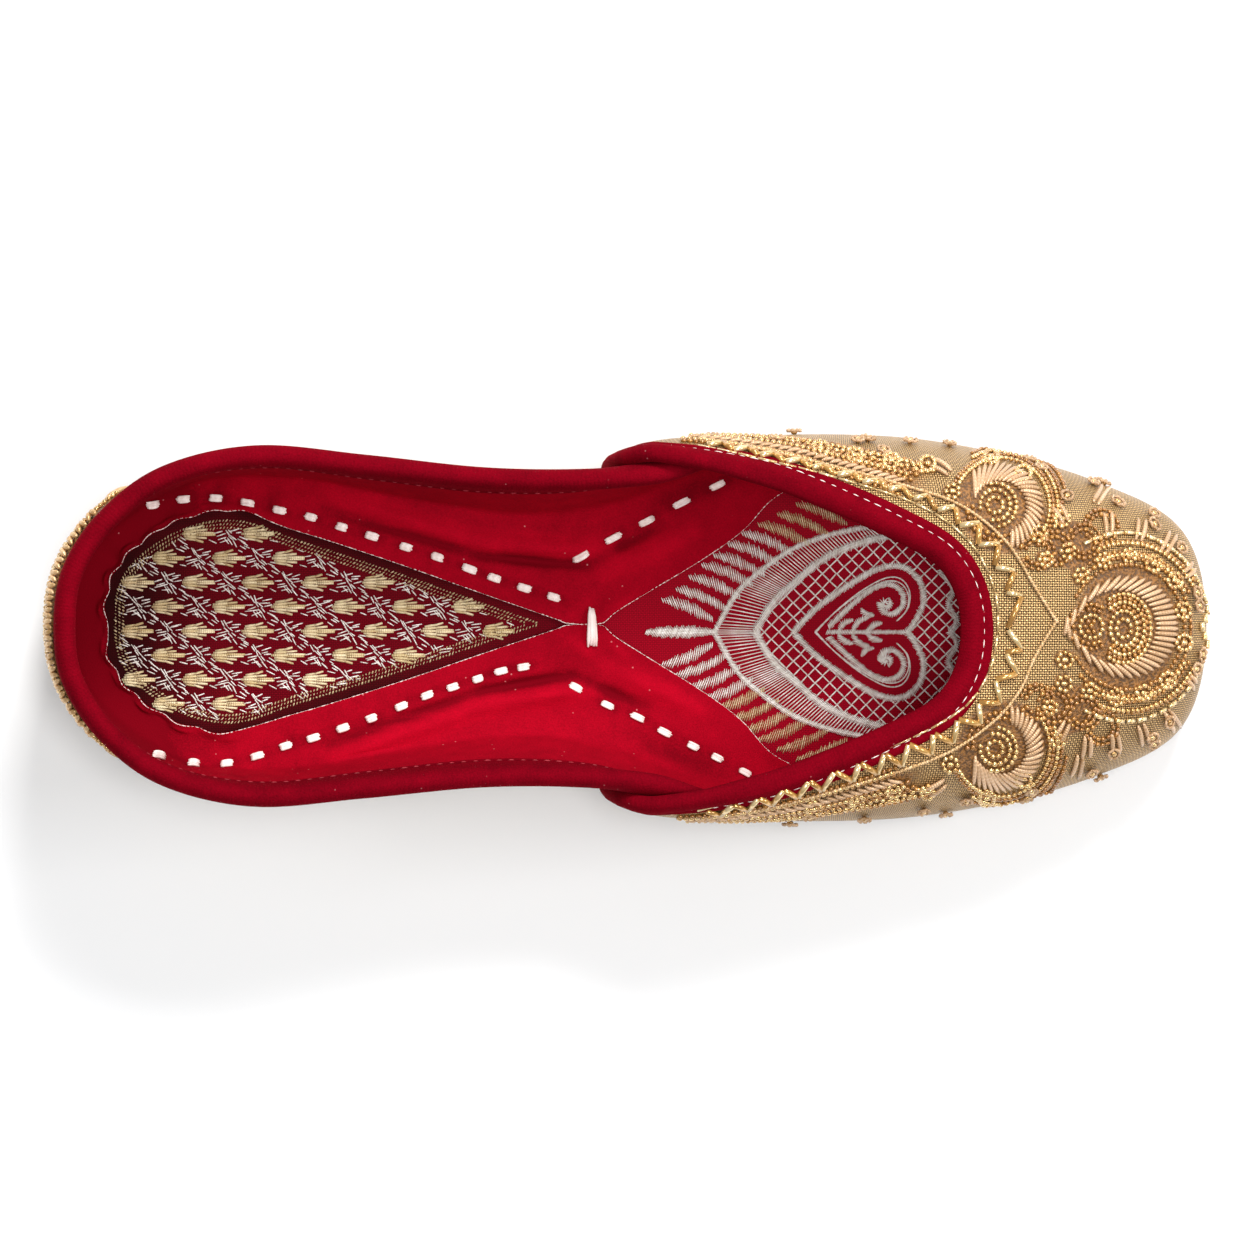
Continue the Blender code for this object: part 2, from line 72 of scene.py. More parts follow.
# Ribs of the last, from the back of the heel to the tip of the toe, left side
Rib = namedtuple("Rib", "foot_x foot_y top_x top_y top_z low_out low_rise high_out high_drop")
RIBS = [
    Rib(0.000, 0.000, 0.000, 0.000, 1.000, 0.177, 0.30, 0.093, 0.35),
    Rib(0.010, 0.325, 0.007, 0.308, 1.000, 0.170, 0.30, 0.080, 0.35),
    Rib(0.049, 0.605, 0.037, 0.610, 0.988, 0.145, 0.30, 0.050, 0.35),
    Rib(0.113, 0.815, 0.087, 0.853, 0.965, 0.130, 0.30, 0.014, 0.35),
    Rib(0.200, 0.831, 0.164, 0.970, 0.923, 0.110, 0.30, -0.010, 0.35),
    Rib(0.299, 0.703, 0.259, 0.921, 0.870, 0.125, 0.30, -0.022, 0.35),
    Rib(0.399, 0.610, 0.366, 0.852, 0.821, 0.136, 0.30, -0.022, 0.35),
    Rib(0.483, 0.678, 0.461, 0.848, 0.800, 0.150, 0.32, 0.010, 0.30),
    Rib(0.557, 0.850, 0.543, 0.895, 0.800, 0.170, 0.36, 0.150, 0.20),
    Rib(0.647, 0.970, 0.613, 0.877, 0.800, 0.160, 0.42, 0.190, 0.10),
    Rib(0.745, 1.000, 0.674, 0.749, 0.786, 0.140, 0.42, 0.260, 0.06),
    Rib(0.842, 0.895, 0.729, 0.597, 0.760, 0.150, 0.38, 0.400, 0.04),
    Rib(0.925, 0.725, 0.774, 0.436, 0.733, 0.165, 0.34, 0.560, 0.03),
    Rib(0.987, 0.495, 0.795, 0.237, 0.711, 0.205, 0.31, 0.680, 0.03),
    Rib(1.000, 0.000, 0.801, 0.000, 0.702, 0.290, 0.30, 0.710, 0.03),
]
TOE_RIB = len(RIBS) - 1
ROUND = 2 * TOE_RIB

# Rib places and shares of a rib, as in the solids
COLLAR_END = 8.45
DIP_FROM = 7.6
DIP_TO = 8.6
TUCK_FROM = 8.7
TUCK_TO = 9.3
EAR_TOP = 7.42
EAR_FOOT = 6.90
EAR_ROUND = 0.50
CLOSED_TOP = 9.3
CLOSED_FOOT = 9.0
LEAN_RUN = 1.6
FLARE_LEAD = 0.20
FLARE_RUN = 0.55
TAPER_RUN = 0.8
PATCH_END = 2.35
UNDER_DIP = 0.20
THROAT_TUCK = 0.03
EAR_DROP = 0.20
ROLL_FULL = 0.60
FLARE_FROM = 0.35
FLARE_TO = 0.80
SIDE_ROLL_FROM = 0.08
SIDE_ROLL_TO = 0.93
PATCH_MIDDLE = 0.46
PATCH_HALF = 0.31
PATCH_BLUNT = 0.02
TREAD_FROM = 0.585
TREAD_TO = 0.800
PRESSED_ROLL = 0.55
TAPERED_ROLL = 0.62
SOCK_JOIN = 0.4555

# The raw edge of the lining turned in over the insole, as in the solids, run on to the wall at its front
EdgePoint = namedtuple("EdgePoint", "rib x y")
FLAP_EDGE = [
    EdgePoint(0.00, 0.020, 0.000),
    EdgePoint(0.80, 0.024, 0.230),
    EdgePoint(1.60, 0.045, 0.430),
    EdgePoint(2.50, 0.088, 0.610),
    EdgePoint(3.30, 0.140, 0.665),
    EdgePoint(4.00, 0.200, 0.540),
    EdgePoint(4.85, 0.285, 0.360),
    EdgePoint(5.70, 0.370, 0.165),
    EdgePoint(6.35, 0.430, 0.030),
    EdgePoint(6.50, 0.440, 0.006),
    EdgePoint(6.85, 0.471, 0.006),
    EdgePoint(7.00, 0.484, 0.075),
    EdgePoint(7.40, 0.512, 0.190),
    EdgePoint(8.05, 0.565, 0.405),
    EdgePoint(8.50, 0.600, 0.575),
    EdgePoint(8.95, 0.632, 0.790),
    EdgePoint(9.60, 0.690, 0.950),
]


# Camera: straight above, as in the photo, a little to the shoe's left, and rolled by half a degree
CAMERA = Vector((0.0, 0.045, 1.8))
AIM = Vector((-0.0005, -0.0003, 0.020))
ROLL = 0.009
FRAME_WIDTH = 0.2759      # what the frame takes in at the shoe
SENSOR = 36.0
SIGHT = (AIM - CAMERA).normalized()
ACROSS = SIGHT.cross(Vector((-math.sin(ROLL), math.cos(ROLL), 0.0))).normalized()
UPWARD = ACROSS.cross(SIGHT)


def mix(start, end, share):
    return start + (end - start) * share


def smooth(share):
    """A soft step from 0 to 1."""
    share = min(max(share, 0.0), 1.0)
    return share * share * (3 - 2 * share)


def spread(start, end, count):
    return [mix(start, end, k / (count - 1)) for k in range(count)]


def catmull(before, start, end, after, share):
    """A smooth curve through start and end, at a share of the way."""
    return 0.5 * (
        2 * start
        + (end - before) * share
        + (2 * before - 5 * start + 4 * end - after) * share**2
        + (3 * start - before - 3 * end + after) * share**3
    )


def flowing(points, per_leg=8):
    """Points on a smooth curve through a few flat points."""
    points = [Vector(point) for point in points]
    last = len(points) - 1
    curve = []
    for leg in range(last):
        stops = [min(max(leg + step, 0), last) for step in (-1, 0, 1, 2)]
        curve += [catmull(*(points[stop] for stop in stops), k / per_leg) for k in range(per_leg)]
    return curve + [points[-1]]


# The shoe's form, worked out as in the solids

def rib_value(column, place):
    first = math.floor(place)

    def row(number):
        number %= ROUND
        right = number > TOE_RIB
        value = getattr(RIBS[ROUND - number if right else number], column)
        return -value if right and column in ("foot_y", "top_y") else value

    return catmull(*(row(first + step) for step in (-1, 0, 1, 2)), place - first)


def from_heel(place):
    place = abs(place) % ROUND
    return min(place, ROUND - place)


def sole_bottom(x):
    breast = HEEL_LENGTH - SOLE_MARGIN
    tread_from = TREAD_FROM * LAST_LENGTH
    tread_to = TREAD_TO * LAST_LENGTH
    if x < tread_from:
        return (HEEL_LIFT + GAP) * (1 - smooth((x - breast) / (tread_from - breast)))
    return TOE_SPRING * (max(x - tread_to, 0.0) / (LAST_LENGTH - tread_to)) ** 2


def sole_top(x):
    return sole_bottom(x) + SOLE_THICKNESS


def sock_top(x):
    return sole_top(x) + 2 * GAP + INSOLE_THICKNESS + SOCK_THICKNESS


def flap_top(x):
    return sock_top(x) + GAP + FLAP_THICKNESS


@lru_cache(maxsize=None)
def plan(place, which):
    return Vector((
        rib_value(which + "_x", place) * LAST_LENGTH,
        rib_value(which + "_y", place) * BALL_WIDTH / 2,
        0.0,
    ))


@lru_cache(maxsize=None)
def plan_outward(place, which):
    step = 0.02
    along = plan(place + step, which) - plan(place - step, which)
    return Vector((-along.y, along.x, 0.0)).normalized()


@lru_cache(maxsize=None)
def rib_curve(place):
    """The four points that draw a rib: its foot, low handle, high handle and top."""
    foot = plan(place, "foot").copy()
    foot.z = sole_top(foot.x)
    top = plan(place, "top").copy()
    top.z = rib_value("top_z", place) * BACK_HEIGHT
    height = top.z - foot.z
    low = foot + plan_outward(place, "foot") * (rib_value("low_out", place) * BALL_WIDTH / 2)
    low.z += rib_value("low_rise", place) * height
    high = top + plan_outward(place, "top") * (rib_value("high_out", place) * BALL_WIDTH / 2)
    high.z -= rib_value("high_drop", place) * height
    return foot, low, high, top


def last_point(place, share):
    foot, low, high, top = rib_curve(place)
    if share < 0:
        return foot + (low - foot) * (3 * share)
    rest = 1 - share
    return foot * rest**3 + low * (3 * rest**2 * share) + high * (3 * rest * share**2) + top * share**3


def last_normal(place, share):
    step = 0.01
    along = last_point(place + step, share) - last_point(place - step, share)
    up = last_point(place, share + step) - last_point(place, share - step)
    return up.cross(along).normalized()


def reach_x(place, offset, sign):
    rib = [last_point(place, share) + last_normal(place, share) * offset for share in spread(0, 1, 60)]
    return sign * max(sign * point.x for point in rib)


BACK_REACH = reach_x(0, UPPER_WALL + GAP + PATCH_THICKNESS, -1)
TOE_REACH = max(reach_x(TOE_RIB, UPPER_WALL + GAP + VAMP_WALL, 1), LAST_LENGTH + SOLE_MARGIN)
BOX_MIDDLE = Vector(((BACK_REACH + TOE_REACH) / 2, 0.0, 0.0))


def off_last(place, share, offset):
    return last_point(place, share) + last_normal(place, share) * offset - BOX_MIDDLE


def upper_top(place):
    near = from_heel(place)
    dip = UNDER_DIP * smooth((near - DIP_FROM) / (DIP_TO - DIP_FROM))
    return 1 - mix(dip, THROAT_TUCK, smooth((near - TUCK_FROM) / (TUCK_TO - TUCK_FROM)))


def throat_radius(share):
    return THROAT_ROLL * mix(PRESSED_ROLL, 1.0, smooth(share / ROLL_FULL))


def stand_off(place, share):
    near = from_heel(place)
    share = min(max(share, 0.0), 1.0)
    back = mix(EAR_FOOT, EAR_TOP, share)
    closed = mix(CLOSED_FOOT, CLOSED_TOP, share)
    roll_room = throat_radius(share) - VAMP_WALL / 2
    flared = smooth((share - FLARE_FROM) / (FLARE_TO - FLARE_FROM))
    flared *= smooth((near - EAR_TOP + FLARE_LEAD) / FLARE_RUN)
    return mix(roll_room, EAR_FLARE, flared) * (1 - smooth((near - back) / (closed - back)))


def ear_corner(place):
    short = max(EAR_TOP + EAR_ROUND - from_heel(place), 0.0) / EAR_ROUND
    return 1 - EAR_DROP * (1 - math.sqrt(max(1 - short**2, 0.0)))


def lean_back(place, share):
    fade = 1 - smooth((from_heel(place) - EAR_TOP) / LEAN_RUN)
    lean = (EAR_TOP - EAR_FOOT) * (1 - max(share, 0.0)) * fade
    return place - lean if place < TOE_RIB else place + lean


def vamp_place(place, height):
    """A point on the vamp's inner face at a share of its own height, and its outward direction."""
    share = height * ear_corner(place) if height > 0 else height
    place = lean_back(place, share)
    normal = last_normal(place, share)
    inner = last_point(place, share) + normal * (UPPER_WALL + GAP + stand_off(place, share)) - BOX_MIDDLE
    return inner, normal


@lru_cache(maxsize=None)
def raw_edge_stops():
    """The flap's raw edge on the left side, from the heel on: rib place, x and y of many points."""
    rows = [Vector((row.rib, row.x * LAST_LENGTH, row.y * BALL_WIDTH / 2)) for row in FLAP_EDGE]
    behind = Vector((-rows[1].x, rows[1].y, -rows[1].z))
    curve = []
    for number in range(len(rows) - 1):
        before = rows[number - 1] if number else behind
        after = rows[min(number + 2, len(rows) - 1)]
        curve += [catmull(before, rows[number], rows[number + 1], after, k / 12) for k in range(12)]
    return [tuple(stop) for stop in curve + [rows[-1]]]


def raw_edge(place):
    """The raw edge's plan point opposite a rib place on either side, or None ahead of the flaps."""
    near = from_heel(place)
    stops = raw_edge_stops()
    if near > stops[-1][0]:
        return None
    x = float(np.interp(near, [stop[0] for stop in stops], [stop[1] for stop in stops]))
    y = float(np.interp(near, [stop[0] for stop in stops], [stop[2] for stop in stops]))
    return Vector((x, y if (place % ROUND) <= TOE_RIB else -y, 0.0))


# Meshes

def add_object(name, mesh):
    thing = bpy.data.objects.new(name, mesh)
    bpy.context.scene.collection.objects.link(thing)
    return thing


def hand_in(piece, slot, *nodes):
    """Ride on the shoe, and stand for the nodes named; slot is not used."""
    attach(piece, "root")
    if nodes:
        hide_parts(*nodes)


def as_grid(columns):
    return np.array([[tuple(point) for point in column] for column in columns])


def grid_normals(grid, wrap):
    along = np.roll(grid, -1, 0) - np.roll(grid, 1, 0) if wrap else np.gradient(grid, axis=0)
    normal = np.cross(np.gradient(grid, axis=1), along)
    return normal / np.maximum(np.linalg.norm(normal, axis=2, keepdims=True), 1e-12)


def shell(name, front, back, material, wrap=False, uv=None, paint=None):
    """A closed wall between two grids of points. The first faces its maker; wrap joins its ends."""
    columns, rows = front.shape[:2]

    def at(side, column, row):
        return (side * columns + column % columns) * rows + row

    faces = []
    for c in range(columns if wrap else columns - 1):
        for r in range(rows - 1):
            faces.append((at(0, c, r), at(0, c, r + 1), at(0, c + 1, r + 1), at(0, c + 1, r)))
            faces.append((at(1, c, r), at(1, c + 1, r), at(1, c + 1, r + 1), at(1, c, r + 1)))
        faces.append((at(0, c, 0), at(0, c + 1, 0), at(1, c + 1, 0), at(1, c, 0)))
        top = rows - 1
        faces.append((at(0, c, top), at(1, c, top), at(1, c + 1, top), at(0, c + 1, top)))
    if not wrap:
        end = columns - 1
        for r in range(rows - 1):
            faces.append((at(0, 0, r + 1), at(0, 0, r), at(1, 0, r), at(1, 0, r + 1)))
            faces.append((at(0, end, r), at(0, end, r + 1), at(1, end, r + 1), at(1, end, r)))
    points = np.concatenate([front.reshape(-1, 3), back.reshape(-1, 3)])
    mesh = bpy.data.meshes.new(name)
    mesh.from_pydata(points.tolist(), [], faces)
    if uv is not None:
        write_uv(mesh, np.concatenate([uv.reshape(-1, 2)] * 2))
    for label, values in (paint or {}).items():
        layer = mesh.attributes.new(label, "FLOAT", "POINT")
        layer.data.foreach_set("value", np.tile(values.reshape(-1), 2))
    mesh.shade_smooth()
    mesh.materials.append(material)
    return add_object(name, mesh)


def write_uv(mesh, per_point):
    corners = np.empty(len(mesh.loops), int)
    mesh.loops.foreach_get("vertex_index", corners)
    layer = mesh.uv_layers.new(name="UVMap")
    layer.data.foreach_set("uv", per_point[corners].reshape(-1))


def swept(name, rings, material):
    """A closed strip or roll through rings of points, capped at both ends."""
    stops, around = rings.shape[:2]
    faces = []
    for s in range(stops - 1):
        for a in range(around):
            b = (a + 1) % around
            faces.append((s * around + a, s * around + b, (s + 1) * around + b, (s + 1) * around + a))
    faces.append(tuple(range(around)))
    faces.append(tuple((stops - 1) * around + a for a in reversed(range(around))))
    mesh = bpy.data.meshes.new(name)
    mesh.from_pydata(rings.reshape(-1, 3).tolist(), [], faces)
    along = np.concatenate([[0], np.cumsum(np.linalg.norm(np.diff(rings[:, 0], axis=0), axis=1))])
    across = np.concatenate([[0], np.cumsum(np.linalg.norm(np.diff(rings[stops // 2], axis=0), axis=1))])
    uv = np.stack(np.meshgrid(along, across, indexing="ij"), -1)
    write_uv(mesh, uv.reshape(-1, 2))
    bm = bmesh.new()
    bm.from_mesh(mesh)
    bmesh.ops.recalc_face_normals(bm, faces=bm.faces)
    bm.to_mesh(mesh)
    bm.free()
    mesh.shade_smooth()
    mesh.materials.append(material)
    return add_object(name, mesh)


class Ground:
    """A surface that work is laid on, and the places on it that the camera sees."""

    def __init__(self, grid, wrap=False):
        columns, rows = grid.shape[:2]
        faces = []
        for c in range(columns if wrap else columns - 1):
            d = (c + 1) % columns
            for r in range(rows - 1):
                faces.append((c * rows + r, c * rows + r + 1, d * rows + r + 1, d * rows + r))
        self.tree = BVHTree.FromPolygons(grid.reshape(-1, 3).tolist(), faces)

    def seen(self, x, y):
        goal = AIM + ACROSS * (x * MM) + UPWARD * (y * MM)
        hit, normal, _, _ = self.tree.ray_cast(CAMERA, (goal - CAMERA).normalized())
        if hit is None:
            hit, normal, _, _ = self.tree.find_nearest(goal)
        return hit, normal

    def nearest(self, point):
        hit, normal, _, _ = self.tree.find_nearest(point)
        return hit, normal

    def line(self, points):
        return [self.seen(x, y) for x, y in points]


class Chart:
    """Paths and single stitches laid on a ground, as the node trees read them."""

    def __init__(self):
        self.points = []
        self.ups = []
        self.wides = []
        self.edges = []

    def add(self, place, wide):
        self.points.append(tuple(place[0]))
        self.ups.append(tuple(place[1]))
        self.wides.append(wide)

    def path(self, places, wides=None, closed=False):
        first = len(self.points)
        for number, place in enumerate(places):
            self.add(place, wides[number] if wides else 1.0)
            if number:
                self.edges.append((first + number - 1, first + number))
        if closed:
            self.edges.append((first + len(places) - 1, first))

    def stitch(self, start, end, wide=1.0):
        first = len(self.points)
        self.add(start, wide)
        self.add(end, wide)
        self.edges.append((first, first + 1))

    def mesh(self, name):
        mesh = bpy.data.meshes.new(name)
        mesh.from_pydata(self.points, self.edges, [])
        up = mesh.attributes.new("up", "FLOAT_VECTOR", "POINT")
        up.data.foreach_set("vector", np.array(self.ups).reshape(-1))
        wide = mesh.attributes.new("wide", "FLOAT", "POINT")
        wide.data.foreach_set("value", np.array(self.wides, float))
        return mesh


# Nodes

def put(tree, kind, sockets=None, **settings):
    """A node in a tree. sockets gives its inputs by name or number: a value or another node's output."""
    node = tree.nodes.new(kind)
    for label, value in settings.items():
        setattr(node, label, value)
    for label, value in (sockets or {}).items():
        if isinstance(value, bpy.types.NodeSocket):
            tree.links.new(value, node.inputs[label])
        else:
            node.inputs[label].default_value = value
    return node


def sums(tree, operation, *values, clamp=False):
    sockets = dict(enumerate(values))
    return put(tree, "ShaderNodeMath", sockets, operation=operation, use_clamp=clamp).outputs[0]


def blend(tree, share, first, second):
    """A colour between two."""
    node = put(tree, "ShaderNodeMix", {0: share, 6: first, 7: second}, data_type="RGBA")
    return node.outputs[2]


def ramp(tree, value, low, high, to_low=0.0, to_high=1.0):
    sockets = {0: value, 1: low, 2: high, 3: to_low, 4: to_high}
    return put(tree, "ShaderNodeMapRange", sockets, interpolation_type="SMOOTHSTEP").outputs[0]


def noise(tree, vector, size, detail=2.0):
    sockets = {"Vector": vector, "Scale": 1.0 / size, "Detail": detail}
    return put(tree, "ShaderNodeTexNoise", sockets).outputs[0]


def new_group(name, inputs, outputs, kind="ShaderNodeTree"):
    tree = bpy.data.node_groups.new(name, kind)
    for label, socket, value in inputs:
        item = tree.interface.new_socket(name=label, in_out="INPUT", socket_type=socket)
        if value is not None:
            item.default_value = value
    for label, socket in outputs:
        tree.interface.new_socket(name=label, in_out="OUTPUT", socket_type=socket)
    return tree, tree.nodes.new("NodeGroupInput").outputs, tree.nodes.new("NodeGroupOutput").inputs


FLOAT = "NodeSocketFloat"
COLOUR = "NodeSocketColor"
VECTOR = "NodeSocketVector"
WHITE = (1.0, 1.0, 1.0, 1.0)


def build_nap():
    """Velvet: short pile with brushed patches and a little lint, darkened by painted shade, or lightened by
    painted light, where it is given.
    """
    tree, given, out = new_group(
        "velvet_nap",
        [("Vector", VECTOR, None), ("Deep", COLOUR, WHITE), ("Pile", COLOUR, WHITE), ("Lint", FLOAT, 0.3),
         ("Painted Shade", FLOAT, 0.0)],
        [("Colour", COLOUR), ("Height", FLOAT)],
    )
    fine = noise(tree, given["Vector"], 0.00035, 3.0)
    brushed = noise(tree, given["Vector"], 0.0045, 4.0)
    broad = noise(tree, given["Vector"], 0.022, 2.0)
    share = sums(tree, "MULTIPLY_ADD", brushed, 0.50, -0.40)
    share = sums(tree, "MULTIPLY_ADD", broad, 0.35, share)
    share = sums(tree, "MULTIPLY_ADD", fine, 0.90, share)
    # painted shade: darkens the pile in folds, stitch pits and inside the heel; negative values are painted
    # light on ridges
    share = sums(tree, "MULTIPLY_ADD", given["Painted Shade"], -0.75, share, clamp=True)
    pile = blend(tree, share, given["Deep"], given["Pile"])
    specks = put(tree, "ShaderNodeTexVoronoi", {"Vector": given["Vector"], "Scale": 420.0})
    near = ramp(tree, specks.outputs["Distance"], 0.05, 0.10, 1.0, 0.0)
    chosen = ramp(tree, noise(tree, given["Vector"], 0.006, 0.0), 0.60, 0.64)
    lint = sums(tree, "MULTIPLY", sums(tree, "MULTIPLY", near, chosen), given["Lint"])
    tree.links.new(blend(tree, lint, pile, (0.75, 0.30, 0.30, 1.0)), out["Colour"])
    tree.links.new(sums(tree, "MULTIPLY_ADD", brushed, 0.6, fine), out["Height"])
    return tree


def build_weave():
    """Plain weave: threads that pass over and under each other, with dark gaps at their crossings."""
    tree, given, out = new_group(
        "plain_weave",
        [("Vector", VECTOR, None), ("Pitch", FLOAT, 0.0005), ("Warp", COLOUR, WHITE), ("Weft", COLOUR, WHITE),
         ("Gap", COLOUR, WHITE)],
        [("Colour", COLOUR), ("Height", FLOAT)],
    )
    split = put(tree, "ShaderNodeSeparateXYZ", {0: given["Vector"]})
    u = sums(tree, "DIVIDE", split.outputs[0], given["Pitch"])
    v = sums(tree, "DIVIDE", split.outputs[1], given["Pitch"])
    round_u = sums(tree, "ABSOLUTE", sums(tree, "SINE", sums(tree, "MULTIPLY", u, math.pi)))
    round_v = sums(tree, "ABSOLUTE", sums(tree, "SINE", sums(tree, "MULTIPLY", v, math.pi)))
    count = sums(tree, "ADD", sums(tree, "FLOOR", u), sums(tree, "FLOOR", v))
    over = sums(tree, "ABSOLUTE", sums(tree, "MODULO", count, 2.0))
    warp = sums(tree, "MULTIPLY", round_v, sums(tree, "MULTIPLY_ADD", round_u, 0.4, 0.6))
    weft = sums(tree, "MULTIPLY", round_u, sums(tree, "MULTIPLY_ADD", round_v, 0.4, 0.6))
    height = put(tree, "ShaderNodeMix", {0: over, 2: weft, 3: warp}, data_type="FLOAT").outputs[0]
    thread = blend(tree, over, given["Weft"], given["Warp"])
    tree.links.new(blend(tree, ramp(tree, height, 0.30, 0.85), given["Gap"], thread), out["Colour"])
    tree.links.new(height, out["Height"])
    return tree


def build_grain():
    """Leather: small pebbles with creases between them."""
    tree, given, out = new_group(
        "leather_grain",
        [("Vector", VECTOR, None), ("Size", FLOAT, 0.0008)],
        [("Height", FLOAT), ("Mottle", FLOAT)],
    )
    sockets = {"Vector": given["Vector"], "Scale": sums(tree, "DIVIDE", 1.0, given["Size"])}
    cells = put(tree, "ShaderNodeTexVoronoi", sockets, feature="DISTANCE_TO_EDGE")
    pebble = ramp(tree, cells.outputs["Distance"], 0.0, 0.25)
    fine = noise(tree, given["Vector"], 0.0004, 3.0)
    tree.links.new(sums(tree, "MULTIPLY_ADD", fine, 0.5, pebble), out["Height"])
    tree.links.new(noise(tree, given["Vector"], 0.012, 4.0), out["Mottle"])
    return tree


def build_soil():
    """Dirt and handling marks that gather towards a low edge."""
    tree, given, out = new_group(
        "soil",
        [("Vector", VECTOR, None), ("Low", FLOAT, 0.0), ("High", FLOAT, 0.02), ("Amount", FLOAT, 0.5)],
        [("Mask", FLOAT)],
    )
    split = put(tree, "ShaderNodeSeparateXYZ", {0: given["Vector"]})
    down = ramp(tree, split.outputs[2], given["Low"], given["High"], 1.0, 0.0)
    spots = ramp(tree, noise(tree, given["Vector"], 0.005, 5.0), 0.42, 0.68)
    mask = sums(tree, "MULTIPLY", sums(tree, "MULTIPLY_ADD", spots, 0.65, 0.35), down)
    tree.links.new(sums(tree, "MULTIPLY", mask, given["Amount"], clamp=True), out["Mask"])
    return tree


def build_twist():
    """Thread, wound wire and beads: turns along each piece, and a shade of its own for each."""
    tree, given, out = new_group(
        "twist",
        [("Along", FLOAT, 0.0), ("Shade", FLOAT, 0.0), ("Turns", FLOAT, 10.0), ("Light", COLOUR, WHITE),
         ("Dark", COLOUR, WHITE)],
        [("Colour", COLOUR), ("Height", FLOAT)],
    )
    turn = sums(tree, "MULTIPLY", sums(tree, "MULTIPLY", given["Along"], given["Turns"]), 2 * math.pi)
    wave = sums(tree, "MULTIPLY_ADD", sums(tree, "SINE", turn), 0.5, 0.5)
    share = sums(tree, "MULTIPLY_ADD", wave, 0.35, sums(tree, "MULTIPLY", given["Shade"], 0.65), clamp=True)
    tree.links.new(blend(tree, share, given["Dark"], given["Light"]), out["Colour"])
    tree.links.new(wave, out["Height"])
    return tree


NAP = build_nap()
WEAVE = build_weave()
GRAIN = build_grain()
SOIL = build_soil()
TWIST = build_twist()


def new_material(name, **sockets):
    """A material, its tree and its shader, with constants on the shader's own sockets."""
    material = bpy.data.materials.new(name)
    material.use_nodes = True
    tree = material.node_tree
    shader = tree.nodes["Principled BSDF"]
    for label, value in sockets.items():
        shader.inputs[label.replace("_", " ")].default_value = value
    return material, tree, shader


def use(tree, group, sockets):
    return put(tree, "ShaderNodeGroup", sockets, node_tree=group)


def place_of(tree, output="Object"):
    return put(tree, "ShaderNodeTexCoord").outputs[output]


def attribute(tree, name):
    return put(tree, "ShaderNodeAttribute", attribute_name=name).outputs["Fac"]


def bump(tree, shader, height, depth, strength=1.0):
    node = put(tree, "ShaderNodeBump", {"Height": height, "Distance": depth, "Strength": strength})
    tree.links.new(node.outputs[0], shader.inputs["Normal"])


def velvet(name, deep, pile, lint=0.3, ribs=0.0):
    """Velvet, with fine ribs across a folded edge where ribs is set."""
    material, tree, shader = new_material(
        name, Roughness=0.9, Sheen_Weight=0.10, Sheen_Roughness=0.4, Sheen_Tint=(0.9, 0.02, 0.05, 1.0),
        Specular_IOR_Level=0.02,
    )
    # the painted shade that a mesh carries as an attribute darkens the pile, and lightens it where negative
    nap = use(tree, NAP, {
        "Vector": place_of(tree), "Deep": (*deep, 1.0), "Pile": (*pile, 1.0), "Lint": lint,
        "Painted Shade": attribute(tree, "painted_shade"),
    })
    tree.links.new(nap.outputs["Colour"], shader.inputs["Base Color"])
    height = nap.outputs["Height"]
    if ribs:
        uv = put(tree, "ShaderNodeSeparateXYZ", {0: place_of(tree, "UV")})
        wobble = sums(tree, "MULTIPLY", noise(tree, place_of(tree), 0.004, 2.0), 9.0)
        turn = sums(tree, "MULTIPLY_ADD", uv.outputs[0], 2 * math.pi / ribs, wobble)
        height = sums(tree, "MULTIPLY_ADD", sums(tree, "SINE", turn), 0.18, height)
    bump(tree, shader, height, 0.00012, 0.8)
    return material


def tissue(name, warp, weft, gap, ground, pitch=0.00055):
    """Gold tissue, with a darker ground of stitching where the attribute ground is painted."""
    material, tree, shader = new_material(name, Specular_IOR_Level=0.6)
    cloth = use(tree, WEAVE, {
        "Vector": place_of(tree, "UV"), "Pitch": pitch, "Warp": (*warp, 1.0), "Weft": (*weft, 1.0),
        "Gap": (*gap, 1.0),
    })
    broad = noise(tree, place_of(tree), 0.010, 3.0)
    shade = put(tree, "ShaderNodeHueSaturation", {
        "Color": cloth.outputs["Colour"], "Value": sums(tree, "MULTIPLY_ADD", broad, 0.5, 0.75),
    })
    fill = ramp(tree, noise(tree, place_of(tree), 0.0006, 2.0), 0.35, 0.65)
    stitched = blend(tree, fill, tuple(0.30 * part for part in ground) + (1.0,), (*ground, 1.0))
    mask = ramp(tree, attribute(tree, "ground"), 0.25, 0.75)
    tree.links.new(blend(tree, mask, shade.outputs[0], stitched), shader.inputs["Base Color"])
    tree.links.new(sums(tree, "MULTIPLY_ADD", mask, 0.10, 0.40), shader.inputs["Roughness"])
    tree.links.new(sums(tree, "MULTIPLY_ADD", mask, -0.5, 0.55), shader.inputs["Metallic"])
    height = put(tree, "ShaderNodeMix", {0: mask, 2: cloth.outputs["Height"], 3: fill}, data_type="FLOAT")
    bump(tree, shader, height.outputs[0], 0.00018, 0.9)
    return material


